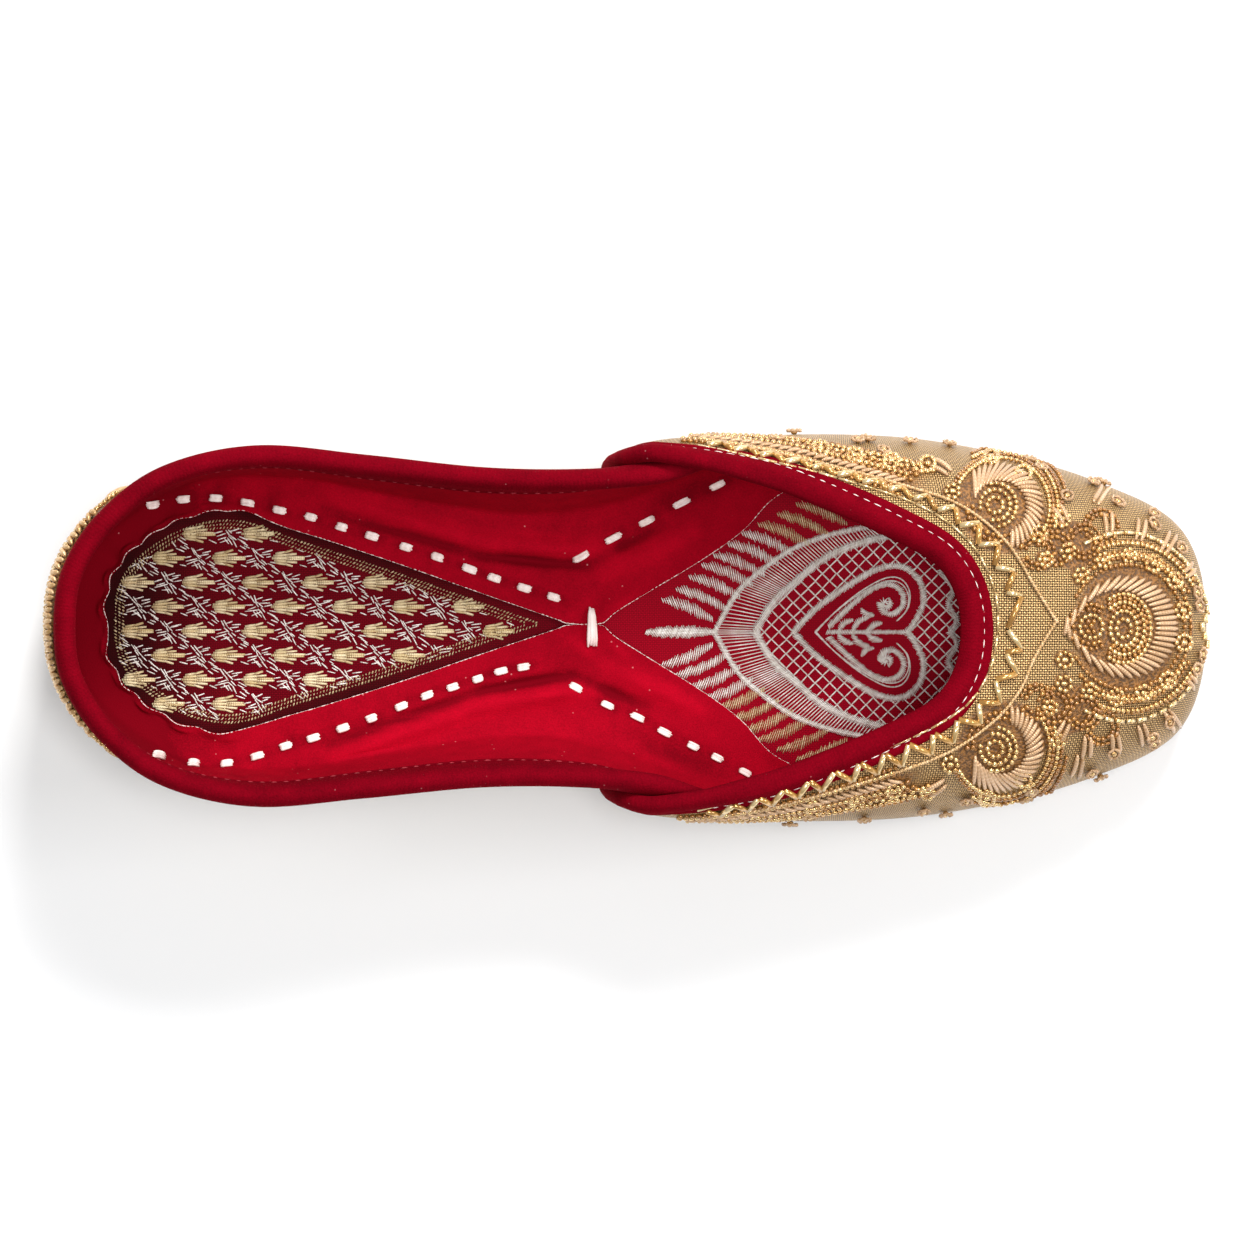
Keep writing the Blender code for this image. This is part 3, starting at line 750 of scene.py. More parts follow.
def satin(name, warp, weft, gap, shadow, pitch):
    """A glossy woven ground on the insole, darkened towards the colour shadow by painted shade in the
    attribute shade, and in random mottles.
    """
    material, tree, shader = new_material(name, Roughness=0.5, Specular_IOR_Level=0.02)
    cloth = use(tree, WEAVE, {
        "Vector": place_of(tree), "Pitch": pitch, "Warp": (*warp, 1.0), "Weft": (*weft, 1.0),
        "Gap": (*gap, 1.0),
    })
    mottled = sums(tree, "MULTIPLY_ADD", noise(tree, place_of(tree), 0.006, 3.0), 0.5, -0.25)
    share = sums(tree, "ADD", attribute(tree, "shade"), mottled, clamp=True)
    share = sums(tree, "MULTIPLY", share, 0.9)
    tree.links.new(blend(tree, share, cloth.outputs["Colour"], (*shadow, 1.0)), shader.inputs["Base Color"])
    bump(tree, shader, cloth.outputs["Height"], 0.00005, 0.5)
    return material


def leather(name, colour, soiled, low, high, size, amount=0.7, roughness=0.55):
    material, tree, shader = new_material(name, Specular_IOR_Level=0.35)
    grain = use(tree, GRAIN, {"Vector": place_of(tree), "Size": size})
    soil = use(tree, SOIL, {"Vector": place_of(tree), "Low": low, "High": high, "Amount": amount})
    dark = tuple(0.78 * part for part in colour) + (1.0,)
    skin = blend(tree, ramp(tree, grain.outputs["Mottle"], 0.3, 0.7), dark, (*colour, 1.0))
    skin = blend(tree, soil.outputs[0], skin, (*soiled, 1.0))
    skin = blend(tree, attribute(tree, "faced"), skin, (*RED_DEEP, 1.0))
    tree.links.new(skin, shader.inputs["Base Color"])
    rough = sums(tree, "MULTIPLY_ADD", grain.outputs["Mottle"], 0.25, roughness - 0.12)
    tree.links.new(rough, shader.inputs["Roughness"])
    bump(tree, shader, grain.outputs["Height"], 0.0001, 0.7)
    return material


def wound(name, light, dark, turns, metallic, roughness, coat=0.0, depth=0.00008):
    """Thread, wire or glass laid piece by piece, with turns along each piece."""
    material, tree, shader = new_material(
        name, Metallic=metallic, Roughness=roughness, Coat_Weight=coat, Coat_Roughness=0.08,
    )
    turn = use(tree, TWIST, {
        "Along": attribute(tree, "along"), "Shade": attribute(tree, "shade"), "Turns": turns,
        "Light": (*light, 1.0), "Dark": (*dark, 1.0),
    })
    tree.links.new(turn.outputs["Colour"], shader.inputs["Base Color"])
    if depth:
        bump(tree, shader, turn.outputs["Height"], depth, 0.8)
    return material


# Trees that lay repeated work

def store(tree, geometry, name, value, kind="FLOAT", domain="POINT"):
    """Keep a value on the geometry as a named attribute."""
    sockets = {"Geometry": geometry, "Name": name, "Value": value}
    return put(tree, "GeometryNodeStoreNamedAttribute", sockets, data_type=kind, domain=domain).outputs[0]

def stored(tree, name, kind="FLOAT_VECTOR"):
    return put(tree, "GeometryNodeInputNamedAttribute", {"Name": name}, data_type=kind).outputs[0]

def vectors(tree, operation, sockets, output=0):
    return put(tree, "ShaderNodeVectorMath", sockets, operation=operation).outputs[output]

def rod(tree, sides, stops, arch, taper):
    """A unit rod along Z, arched towards X and drawn in at its ends, with its length kept as along."""
    body = put(tree, "GeometryNodeMeshCylinder", {
        "Vertices": sides, "Side Segments": stops, "Radius": 0.5, "Depth": 1.0,
    })
    split = put(tree, "ShaderNodeSeparateXYZ", {0: put(tree, "GeometryNodeInputPosition").outputs[0]})
    square = sums(tree, "MULTIPLY", sums(tree, "POWER", split.outputs[2], 2.0), 4.0)
    thin = sums(tree, "SUBTRACT", 1.0, sums(tree, "MULTIPLY", sums(tree, "POWER", square, 2.0), taper))
    rise = sums(tree, "MULTIPLY", sums(tree, "SUBTRACT", 1.0, square), arch)
    x = sums(tree, "MULTIPLY_ADD", split.outputs[0], thin, rise)
    y = sums(tree, "MULTIPLY", split.outputs[1], thin)
    bent = put(tree, "ShaderNodeCombineXYZ", {0: x, 1: y, 2: split.outputs[2]}).outputs[0]
    kept = store(tree, body.outputs["Mesh"], "along", sums(tree, "ADD", split.outputs[2], 0.5))
    return put(tree, "GeometryNodeSetPosition", {"Geometry": kept, "Position": bent}).outputs[0]


def bead(tree):
    """A unit seed bead, round about Z and a little flat along it."""
    ball = put(tree, "GeometryNodeMeshUVSphere", {"Segments": 8, "Rings": 5, "Radius": 0.5})
    place = put(tree, "GeometryNodeInputPosition").outputs[0]
    height = put(tree, "ShaderNodeSeparateXYZ", {0: place}).outputs[2]
    return store(tree, ball.outputs["Mesh"], "along", sums(tree, "ADD", height, 0.5))


def vary(tree, seed, step, amount):
    """A random factor about 1."""
    low = sums(tree, "SUBTRACT", 1.0, amount)
    high = sums(tree, "ADD", 1.0, amount)
    node = put(tree, "FunctionNodeRandomValue", {2: low, 3: high, 8: sums(tree, "ADD", seed, float(step))})
    return node.outputs[1]


def lay(tree, given, out, points, direction, length, shape, wide=1.0):
    """Put the shape on the points, Z along its direction and X away from the ground, and finish the piece."""
    up = stored(tree, "up")
    lift = vectors(tree, "SCALE", {0: up, "Scale": given["Lift"]})
    points = put(tree, "GeometryNodeSetPosition", {"Geometry": points, "Offset": lift}).outputs[0]
    turned = put(tree, "FunctionNodeAlignRotationToVector", {"Vector": direction}, axis="Z").outputs[0]
    sockets = {"Rotation": turned, "Vector": up}
    turned = put(tree, "FunctionNodeAlignRotationToVector", sockets, axis="X", pivot_axis="Z").outputs[0]
    thick = sums(tree, "MULTIPLY", given["Thickness"], vary(tree, given["Seed"], 1, given["Variation"]))
    thick = sums(tree, "MULTIPLY", thick, wide)
    size = put(tree, "ShaderNodeCombineXYZ", {
        0: sums(tree, "MULTIPLY", thick, given["Flatness"]), 1: thick,
        2: sums(tree, "MULTIPLY", length, vary(tree, given["Seed"], 2, given["Variation"])),
    }).outputs[0]
    placed = put(tree, "GeometryNodeInstanceOnPoints", {
        "Points": points, "Instance": shape, "Rotation": turned, "Scale": size,
    }).outputs[0]
    shade = put(tree, "FunctionNodeRandomValue", {2: 0.0, 3: 1.0, 8: given["Seed"]}).outputs[1]
    placed = store(tree, placed, "shade", shade, domain="INSTANCE")
    whole = put(tree, "GeometryNodeRealizeInstances", {"Geometry": placed}).outputs[0]
    whole = put(tree, "GeometryNodeSetShadeSmooth", {"Geometry": whole}).outputs[0]
    sockets = {"Geometry": whole, "Material": given["Material"]}
    tree.links.new(put(tree, "GeometryNodeSetMaterial", sockets).outputs[0], out["Geometry"])


COMMON = [
    ("Geometry", "NodeSocketGeometry", None), ("Thickness", FLOAT, 0.001), ("Flatness", FLOAT, 1.0),
    ("Lift", FLOAT, 0.0), ("Variation", FLOAT, 0.08), ("Seed", "NodeSocketInt", 1),
    ("Material", "NodeSocketMaterial", None),
]
GEOMETRY_OUT = [("Geometry", "NodeSocketGeometry")]


def build_along(name, shape):
    """Pieces at even steps along paths, turned by an angle from the path."""
    inputs = COMMON + [("Spacing", FLOAT, 0.001), ("Length", FLOAT, 0.001), ("Turn", FLOAT, 0.0)]
    tree, given, out = new_group(name, inputs, GEOMETRY_OUT, "GeometryNodeTree")
    curve = put(tree, "GeometryNodeMeshToCurve", {"Mesh": given["Geometry"]}).outputs[0]
    sockets = {"Curve": curve, "Length": given["Spacing"]}
    points = put(tree, "GeometryNodeResampleCurve", sockets, mode="LENGTH").outputs[0]
    tangent = put(tree, "GeometryNodeInputTangent").outputs[0]
    side = vectors(tree, "CROSS_PRODUCT", {0: stored(tree, "up"), 1: tangent})
    ahead = vectors(tree, "SCALE", {0: tangent, "Scale": sums(tree, "COSINE", given["Turn"])})
    aside = vectors(tree, "SCALE", {0: side, "Scale": sums(tree, "SINE", given["Turn"])})
    direction = vectors(tree, "ADD", {0: ahead, 1: aside})
    length = sums(tree, "MULTIPLY", given["Length"], stored(tree, "wide", "FLOAT"))
    lay(tree, given, out, points, direction, length, shape(tree))
    return tree

def build_stitches(name, shape):
    """One piece on each loose edge, from end to end. The attribute wide makes it thicker."""
    inputs = COMMON + [("Length", FLOAT, 1.0)]
    tree, given, out = new_group(name, inputs, GEOMETRY_OUT, "GeometryNodeTree")
    ends = put(tree, "GeometryNodeInputMeshEdgeVertices").outputs
    way = vectors(tree, "SUBTRACT", {0: ends["Position 2"], 1: ends["Position 1"]})
    kept = store(tree, given["Geometry"], "way", way, "FLOAT_VECTOR", "EDGE")
    points = put(tree, "GeometryNodeMeshToPoints", {"Mesh": kept}, mode="EDGES").outputs[0]
    way = stored(tree, "way")
    length = sums(tree, "MULTIPLY", vectors(tree, "LENGTH", {0: way}, "Value"), given["Length"])
    lay(tree, given, out, points, way, length, shape(tree), stored(tree, "wide", "FLOAT"))
    return tree

BEADS_ALONG = build_along("beads_along", bead)
BUGLES_ALONG = build_along("bugles_along", lambda tree: rod(tree, 8, 1, 0.0, 0.0))
STROKES_ALONG = build_along("strokes_along", lambda tree: rod(tree, 5, 3, 0.45, 0.6))
STITCHES = build_stitches("stitches", lambda tree: rod(tree, 8, 5, 0.35, 0.55))
BUGLES = build_stitches("bugles", lambda tree: rod(tree, 8, 1, 0.0, 0.0))
THREADS = build_stitches("threads", lambda tree: rod(tree, 5, 2, 0.1, 0.2))


def laid(name, chart, tree, material, slot, **values):
    """A piece of repeated work: what the tree lays on the chart, as a plain mesh."""
    carrier = add_object(name + "_chart", chart.mesh(name + "_chart"))
    modifier = carrier.modifiers.new("work", "NODES")
    modifier.node_group = tree
    keys = {item.name: item.identifier for item in tree.interface.items_tree if item.in_out == "INPUT"}
    for label, value in values.items():
        modifier[keys[label]] = value
    modifier[keys["Material"]] = material
    bpy.context.view_layer.update()
    mesh = bpy.data.meshes.new_from_object(carrier.evaluated_get(bpy.context.evaluated_depsgraph_get()))
    bpy.data.objects.remove(carrier)
    mesh.name = name
    hand_in(add_object(name, mesh), slot)


# Finishes
RED_DEEP = (0.170, 0.0010, 0.006)
RED_PILE = (0.470, 0.0018, 0.015)
LINING_VELVET = velvet("lining_velvet", RED_DEEP, RED_PILE, lint=0.5)
EDGE_VELVET = velvet("edge_velvet", (0.065, 0.0004, 0.003), (0.260, 0.0008, 0.009), lint=0.3, ribs=0.0009)
GOLD_TISSUE = tissue("gold_tissue_cloth", (0.76, 0.48, 0.20), (0.54, 0.33, 0.13), (0.034, 0.016, 0.005),
                     (0.30, 0.125, 0.024))
BROCADE = satin("brocade_ground", (0.190, 0.0010, 0.008), (0.140, 0.0008, 0.006), (0.070, 0.0004, 0.003),
                (0.010, 0.0015, 0.0015), 0.0004)
RED_SATIN = satin("fore_satin_ground", (0.42, 0.0015, 0.015), (0.34, 0.0012, 0.012), (0.20, 0.0008, 0.008),
                  (0.06, 0.0008, 0.003), 0.0004)
CREAM_LEATHER = leather("cream_leather", (0.62, 0.51, 0.37), (0.30, 0.19, 0.11), 0.010, 0.024, 0.0007, 0.8)
SOLE_LEATHER = leather("sole_leather_waxed", (0.36, 0.21, 0.11), (0.05, 0.03, 0.02), 0.0, 0.006, 0.0012, 0.6)
HEEL_LEATHER = leather("heel_leather_waxed", (0.22, 0.12, 0.06), (0.04, 0.025, 0.02), 0.0, 0.006, 0.0010, 0.6)
BOARD = leather("insole_split", (0.42, 0.30, 0.20), (0.2, 0.14, 0.09), 0.0, 0.01, 0.0010, 0.2, 0.8)
SEED_GLASS = wound("seed_glass", (0.95, 0.68, 0.30), (0.48, 0.23, 0.05), 1.0, 0.75, 0.16, 0.8, 0.0)
BUGLE_GLASS = wound("bugle_glass", (0.95, 0.76, 0.42), (0.66, 0.42, 0.15), 1.0, 0.60, 0.18, 0.9, 0.0)
AMBER_BUGLE = wound("amber_bugle_glass", (0.72, 0.40, 0.11), (0.42, 0.20, 0.04), 1.0, 0.50, 0.18, 0.9, 0.0)
AMBER_GLASS = wound("amber_glass", (0.50, 0.23, 0.045), (0.24, 0.09, 0.015), 1.0, 0.45, 0.22, 0.8, 0.0)
BULLION = wound("bullion_wire", (0.74, 0.48, 0.28), (0.44, 0.25, 0.11), 9.0, 0.25, 0.28, 0.3)
COUCHED_GOLD = wound("couched_gold", (0.86, 0.60, 0.34), (0.52, 0.30, 0.11), 3.0, 0.35, 0.32)
SILVER_THREAD = wound("silver_thread", (1.00, 0.98, 0.93), (0.70, 0.65, 0.56), 3.0, 0.05, 0.28)
GILT_THREAD = wound("gilt_thread", (0.82, 0.68, 0.42), (0.42, 0.29, 0.12), 3.0, 0.15, 0.36)
BUD_GOLD = wound("bud_gold", (0.98, 0.86, 0.56), (0.56, 0.40, 0.16), 9.0, 0.10, 0.36)
SEWING_THREAD = wound("sewing_thread", (0.97, 0.88, 0.83), (0.86, 0.70, 0.64), 2.0, 0.0, 0.7)
RED_THREAD = wound("red_thread", (0.45, 0.02, 0.04), (0.25, 0.01, 0.02), 2.0, 0.0, 0.7)


# Leather wall and velvet lining

WALL_COLUMNS = 200
WALL_FOOT_SHARE = 0.012
FACING_FROM = 7.75        # from this rib place on, red velvet faces the wall behind the ears
LINING_BACK = 0.0001      # the lining's back, inside the wall
LINING_THICKNESS = 0.0005
TURN_SHARE = 0.17         # the lining leaves the wall here and turns in over the insole
TURN_IN = 0.0055          # and lies flat this far in from the feather line
CORNER_INSET = 0.0006     # the corner's own way in from that line
SHORT_TURN = 0.0012       # how far it turns in ahead of the flaps
LINING_COLUMNS = 480
PIT_WIDTH = 1.1           # how a stitch draws the velvet in at its ends, in millimetres
PIT_DEPTH = 0.45
PIT_AHEAD = 0.3           # and so far past its end
FOLD_SHADE_FULL = 1.1        # the depth of a fold, in millimetres, where the painted shade is darkest
RIDGE_LIGHT = -0.35     # and how much painted light a ridge gets, as a negative painted shade


def make_quarters():
    """The cream leather wall all round, from the sole to the collar."""
    places = spread(0, ROUND, WALL_COLUMNS + 1)[:-1]
    front = []
    back = []
    faced = []
    for place in places:
        shares = spread(WALL_FOOT_SHARE, upper_top(place), 26)
        under = smooth((from_heel(place) - FACING_FROM) / 0.12)
        faced.append([under * smooth((share - 0.3) / 0.1) for share in shares])
        outer = [off_last(place, share, UPPER_WALL) for share in shares]
        inner = [off_last(place, share, 0.0002) for share in shares]
        for point in outer + inner:
            point.z = max(point.z, sole_top(point.x + BOX_MIDDLE.x) + GAP)
        front.append(outer)
        back.append(inner)
    wall = shell("quarters", as_grid(front), as_grid(back), CREAM_LEATHER, wrap=True,
                 paint={"faced": np.array(faced)})
    hand_in(wall, "cream_hide", "upper")


# Soft folds of the lining, in millimetres as the camera sees them: a trough where depth is negative
Fold = namedtuple("Fold", "x1 y1 x2 y2 width depth")
FOLDS = [
    Fold(-66.0, 25.4, -31.4, 15.6, 1.2, -1.3),
    Fold(-33.0, 15.8, -9.0, 13.4, 1.2, -1.5),
    Fold(-64.0, 28.5, -31.0, 18.4, 2.0, 1.8),
    Fold(-33.0, 18.6, -4.0, 16.8, 2.0, 2.0),
    Fold(-9.5, 13.6, 8.0, 22.4, 1.2, -1.0),
    Fold(-5.0, 11.6, 14.0, 21.0, 2.0, 1.1),
    Fold(6.0, 27.0, 24.0, 33.0, 2.6, -0.7),
    Fold(-66.0, -26.0, -31.4, -14.0, 1.2, -1.2),
    Fold(-33.0, -14.4, -12.0, -10.6, 1.2, -1.5),
    Fold(-64.0, -29.0, -31.0, -17.0, 2.0, 1.8),
    Fold(-33.0, -17.4, -8.0, -13.6, 2.0, 1.9),
    Fold(-12.0, -10.8, 4.0, -17.6, 1.2, -1.0),
    Fold(-4.0, -9.2, 16.0, -18.4, 2.0, 1.1),
    Fold(2.0, -24.0, 22.0, -32.5, 2.6, -0.7),
    Fold(-13.5, 1.6, -7.5, 6.8, 1.3, 0.45),
    Fold(-13.5, -1.8, -7.0, -7.2, 1.3, 0.45),
    Fold(-4.5, 2.0, 2.0, 8.0, 1.3, 0.35),
    Fold(-4.5, -2.4, 1.0, -8.0, 1.3, 0.35),
    Fold(-104.0, 22.5, -97.0, 30.5, 1.5, -0.7),
    Fold(-92.0, 25.5, -89.0, 31.5, 1.4, -0.6),
    Fold(-79.5, 24.5, -77.0, 31.0, 1.6, -0.5),
    Fold(-110.5, 12.5, -114.5, 17.0, 1.4, -0.6),
    Fold(-112.5, -11.0, -115.5, -14.5, 1.4, -0.6),
    Fold(-103.0, -25.0, -98.5, -32.5, 1.5, -0.7),
    Fold(-88.0, -26.5, -85.0, -33.0, 1.4, -0.6),
    Fold(-75.0, -23.5, -71.5, -31.5, 1.6, -0.5),
]
# Kinks of the raw edge round the heel, at rib places, where the turned-in velvet is gathered
KINKS = [-3.05, -2.5, -1.95, -1.4, -0.75, 0.3, 0.95, 1.5, 2.0, 2.45, 2.95, 3.4]
KINK_REACH = 0.24
KINK_DEPTH = 0.0009
SCALLOP = 0.0007          # how far the raw edge bows in between two kinks
KINKS_TO = 4.0            # rib places where the kinks and the gathers end
GATHERED_TO = 4.2
GATHER_RUN = 0.8
RIPPLE_PACE = 9.1         # shallow ripples of the gathered flap, in radians a rib
RIPPLES_TO = 3.8
RIPPLE_RUN = 1.5
RIPPLE_ROW = 0.62         # the share of a strip, from collar to raw edge, where they are deepest
RIPPLE_REACH = 0.16
RIPPLE_DEPTH = 0.0003
SHADE_TO = 3.6            # painted shade darkens the pile inside the heel, as far as this rib place
SHADE_RUN = 1.8
HEEL_SHADE = 0.95


def heel_place(place):
    """A rib place counted from the heel, negative on the right side."""
    place %= ROUND
    return place - ROUND if place > TOE_RIB else place


def kink_at(place):
    """How near a rib place is to a kink of the raw edge, from 0 to 1."""
    place = heel_place(place)
    return max(math.exp(-((place - kink) / KINK_REACH) ** 2) for kink in KINKS)


def lining_column(place):
    """One strip of the lining: down the wall, round the corner and in to the raw edge."""
    foot = plan(place, "foot") - plan_outward(place, "foot") * CORNER_INSET
    foot = Vector((foot.x, foot.y, flap_top(foot.x)))
    edge = raw_edge(place)
    kink = kink_at(place) if abs(heel_place(place)) < KINKS_TO else 0.0
    if edge is None:
        edge = foot - plan_outward(place, "foot") * SHORT_TURN
    gathered = smooth((GATHERED_TO - abs(heel_place(place))) / GATHER_RUN)
    inward = edge - foot
    inward.z = 0.0
    edge = edge + inward.normalized() * (SCALLOP * gathered * (1 - kink) - 0.5 * SCALLOP * gathered * kink)
    edge.z = flap_top(edge.x) + KINK_DEPTH * kink * gathered
    width = (edge - foot).length
    flat = foot.lerp(edge, min(TURN_IN / width, 0.6) if width > 0.002 else 0.5)
    flat.z = flap_top(flat.x)
    shares = spread(upper_top(place), TURN_SHARE, 15)
    wall = [off_last(place, share, -LINING_BACK - LINING_THICKNESS) + BOX_MIDDLE for share in shares]
    start = wall[-1]
    corner = []
    for share in spread(0, 1, 9)[1:]:
        rest = 1 - share
        corner.append(start * rest**2 + foot * (2 * rest * share) + flat * share**2)
    flap = [flat.lerp(edge, share) for share in spread(0, 1, 27)[1:]]
    for point, share in zip(flap, spread(0, 1, 27)[1:]):
        point.z = flap_top(point.x) + KINK_DEPTH * kink * gathered * share
    return [point - BOX_MIDDLE for point in wall + corner + flap]


def fold_depths(grid, ground):
    """How far each point of the lining moves along its normal."""
    depth = np.zeros(grid.shape[:2])
    for fold in FOLDS:
        start = np.array(ground.seen(fold.x1, fold.y1)[0])
        end = np.array(ground.seen(fold.x2, fold.y2)[0])
        way = end - start
        share = np.clip(((grid - start) @ way) / (way @ way), 0, 1)
        away = np.linalg.norm(grid - (start + share[..., None] * way), axis=2)
        fade = np.sin(np.pi * np.clip(share, 0.04, 0.96)) ** 0.5
        depth += fold.depth * MM * fade * np.exp(-((away / (fold.width * MM)) ** 2))
    for stitch in running_stitches():
        for end in (-1, 1):
            place = stitch.middle + stitch.way * (end * (stitch.half + PIT_AHEAD))
            spot = np.array(ground.seen(*place)[0])
            away = np.linalg.norm(grid - spot, axis=2)
            depth -= PIT_DEPTH * MM * np.exp(-((away / (PIT_WIDTH * MM)) ** 2))
    return depth


def make_lining():
    """The red velvet inside the wall, turned in over the insole to its raw edges."""
    places = spread(0, ROUND, LINING_COLUMNS + 1)[:-1]
    grid = as_grid([lining_column(place) for place in places])
    normal = grid_normals(grid, wrap=True)
    rows = np.linspace(0, 1, grid.shape[1])
    turns = [heel_place(place) for place in places]
    waves = [math.sin(RIPPLE_PACE * turn) * smooth((RIPPLES_TO - abs(turn)) / RIPPLE_RUN) for turn in turns]
    ripple = np.array(waves)[:, None] * np.exp(-(((rows - RIPPLE_ROW) / RIPPLE_REACH) ** 2))
    depth = fold_depths(grid, Ground(grid, wrap=True)) + RIPPLE_DEPTH * ripple
    depth[:, :4] *= np.linspace(0, 1, 4)
    front = grid + normal * depth[..., None]
    back = front - normal * LINING_THICKNESS
    # Painted shade in the attribute: darker in the troughs of the folds and the pits by the stitches, lighter
    # on ridges as painted light, and darker inside the heel, most on its wall
    in_heel = np.array([smooth((SHADE_TO - abs(turn)) / SHADE_RUN) for turn in turns])
    shade = HEEL_SHADE * in_heel[:, None] * (0.7 + 0.3 * np.clip((0.70 - rows) / 0.15, 0, 1))
    painted_shade = np.clip(-depth / (FOLD_SHADE_FULL * MM), RIDGE_LIGHT, 1.0) + shade
    lining = shell("velvet_lining", front, back, LINING_VELVET, wrap=True,
                   paint={"painted_shade": np.clip(painted_shade, RIDGE_LIGHT, 1.0)})
    hand_in(lining, "red_velvet", "lining_flaps")
    return Ground(front, wrap=True)

RAW_END = 9.2    # the rib by the throat where the backing runs out of sight


def make_raw_edges(ground):
    """The white backing of the velvet, which shows along its cut edges."""
    chart = Chart()
    up = Vector((0.0, 0.0, 1.0))
    edge = [lining_column(place)[-1] for place in spread(-RAW_END, RAW_END, 500)]
    chart.path([(ground.nearest(point)[0], up) for point in edge])
    laid("raw_edges", chart, STROKES_ALONG, SEWING_THREAD, "red_velvet", Spacing=0.0010, Length=0.0012,
         Thickness=0.00015, Lift=-0.00010, Variation=0.45, Seed=5)


# Velvet edges. Profiles are in millimetres from the roll's middle: out from the shoe, and up past the edge
Ply = namedtuple("Ply", "out up")
COLLAR_PROFILE = [
    Ply(1.0, -5.4), Ply(1.5, -5.3), Ply(1.75, -4.6), Ply(2.1, -3.4), Ply(2.5, -2.0), Ply(2.6, -0.6),
    Ply(2.45, 0.8), Ply(1.9, 1.8), Ply(1.0, 2.45), Ply(0.1, 2.6), Ply(-0.8, 2.3), Ply(-1.5, 1.5),
    Ply(-1.95, 0.4), Ply(-2.1, -0.9), Ply(-2.1, -2.4), Ply(-2.0, -4.0), Ply(-1.95, -6.0), Ply(-1.95, -8.0),
    Ply(-1.95, -9.6), Ply(-1.55, -10.1), Ply(-1.95, -10.6), Ply(-1.95, -11.8), Ply(-1.7, -12.4),
    Ply(-1.2, -12.5), Ply(-0.7, -8.0), Ply(0.0, -5.8),
]
COLLAR_LEG = range(15, 24)    # plies that lie on the lining
COLLAR_GROOVE = 19
COLLAR_STOPS = 300
COLLAR_BARE = 6           # so many stops at each end have no stitches
THROAT_PROFILE = [
    Ply(0.72, -5.1), Ply(1.0, -5.0), Ply(1.15, -4.5), Ply(1.15, -3.7), Ply(0.82, -3.15), Ply(1.3, -2.6),
    Ply(1.7, -1.6), Ply(1.9, -0.4), Ply(1.75, 0.8), Ply(1.2, 1.55), Ply(0.4, 1.9), Ply(-0.5, 1.85),
    Ply(-1.35, 1.35), Ply(-1.8, 0.5), Ply(-1.9, -0.6), Ply(-1.9, -2.2), Ply(-1.85, -3.8), Ply(-1.6, -4.9),
    Ply(-1.0, -5.1), Ply(0.0, -4.9),
]
THROAT_GROOVE = 4
THROAT_BAND = 6           # so many plies lie on the vamp
THROAT_RAISED = 8         # and up to this one, none sinks into it


def edge_rings(middles, outs, sizes, profile):
    """Rings of points round an edge, and the out and up directions at each stop."""
    middles = np.array([tuple(point) for point in middles])
    outs = np.array([tuple(out) for out in outs])
    along = np.gradient(middles, axis=0)
    along /= np.linalg.norm(along, axis=1, keepdims=True)
    ups = np.cross(along, outs)
    ups /= np.linalg.norm(ups, axis=1, keepdims=True)
    plies = np.array(profile) * MM
    sizes = np.array(sizes)[:, None, None]
    offset = outs[:, None] * plies[None, :, :1] + ups[:, None] * plies[None, :, 1:]
    return middles[:, None] + offset * sizes, outs


def make_collar_binding(lining_ground):
    """The velvet folded over the collar, with a stitched groove inside."""
    places = spread(-COLLAR_END, COLLAR_END, COLLAR_STOPS)
    middles = [off_last(place, upper_top(place), UPPER_WALL / 2) for place in places]
    outs = [last_normal(place, upper_top(place)) for place in places]
    full = [smooth((COLLAR_END - abs(place)) / TAPER_RUN) for place in places]
    sizes = [mix(TAPERED_ROLL, 1.0, share) for share in full]
    rings, outs = edge_rings(middles, outs, sizes, COLLAR_PROFILE)
    for ring in rings:
        for ply in COLLAR_LEG:
            hit, normal = lining_ground.nearest(Vector(ring[ply]))
            height = -COLLAR_PROFILE[ply].out * MM - UPPER_WALL / 2 - LINING_BACK - LINING_THICKNESS
            ring[ply] = hit + normal * height
    hand_in(swept("collar_velvet", rings, EDGE_VELVET), "red_velvet", "collar_binding")
    chart = Chart()
    stitched = range(COLLAR_BARE, COLLAR_STOPS - COLLAR_BARE)
    chart.path([(Vector(rings[k, COLLAR_GROOVE]), -Vector(outs[k])) for k in stitched])
    laid("collar_stitches", chart, STROKES_ALONG, RED_THREAD, "red_velvet", Spacing=0.0026, Length=0.0016,
         Thickness=0.00036, Lift=0.0002, Variation=0.15, Seed=11)


def throat_stops():
    """The middle of the roll round the vamp, its outward directions and its sizes, from ear to ear."""
    on_vamp = VAMP_WALL / 2
    on_both = (VAMP_WALL - UPPER_WALL - GAP) / 2
    heights = spread(SIDE_ROLL_FROM, SIDE_ROLL_TO, 30)
    corner = spread(EAR_TOP, EAR_TOP + EAR_ROUND, 24)[1:]
    front = spread(EAR_TOP + EAR_ROUND, TOE_RIB, 110)[1:]
    left = corner + front
    throat = left + [ROUND - place for place in reversed(left[:-1])]
    stops = []
    for height in heights:
        point, normal = vamp_place(EAR_TOP, height)
        stops.append((point + normal * on_vamp, normal, throat_radius(height) / THROAT_ROLL))
    for place in throat:
        point, normal = vamp_place(place, 1.0)
        free = smooth(stand_off(place, 1.0) / THROAT_ROLL)
        stops.append((point + normal * mix(on_both, on_vamp, free), normal, 1.0))
    for height in reversed(heights):
        point, normal = vamp_place(ROUND - EAR_TOP, height)
        stops.append((point + normal * on_vamp, normal, throat_radius(height) / THROAT_ROLL))
    return stops


def smoothed(values, rounds):
    for _ in range(rounds):
        inner = (values[:-2] + 2 * values[1:-1] + values[2:]) / 4
        values = np.concatenate([values[:1], inner, values[-1:]])
    return values


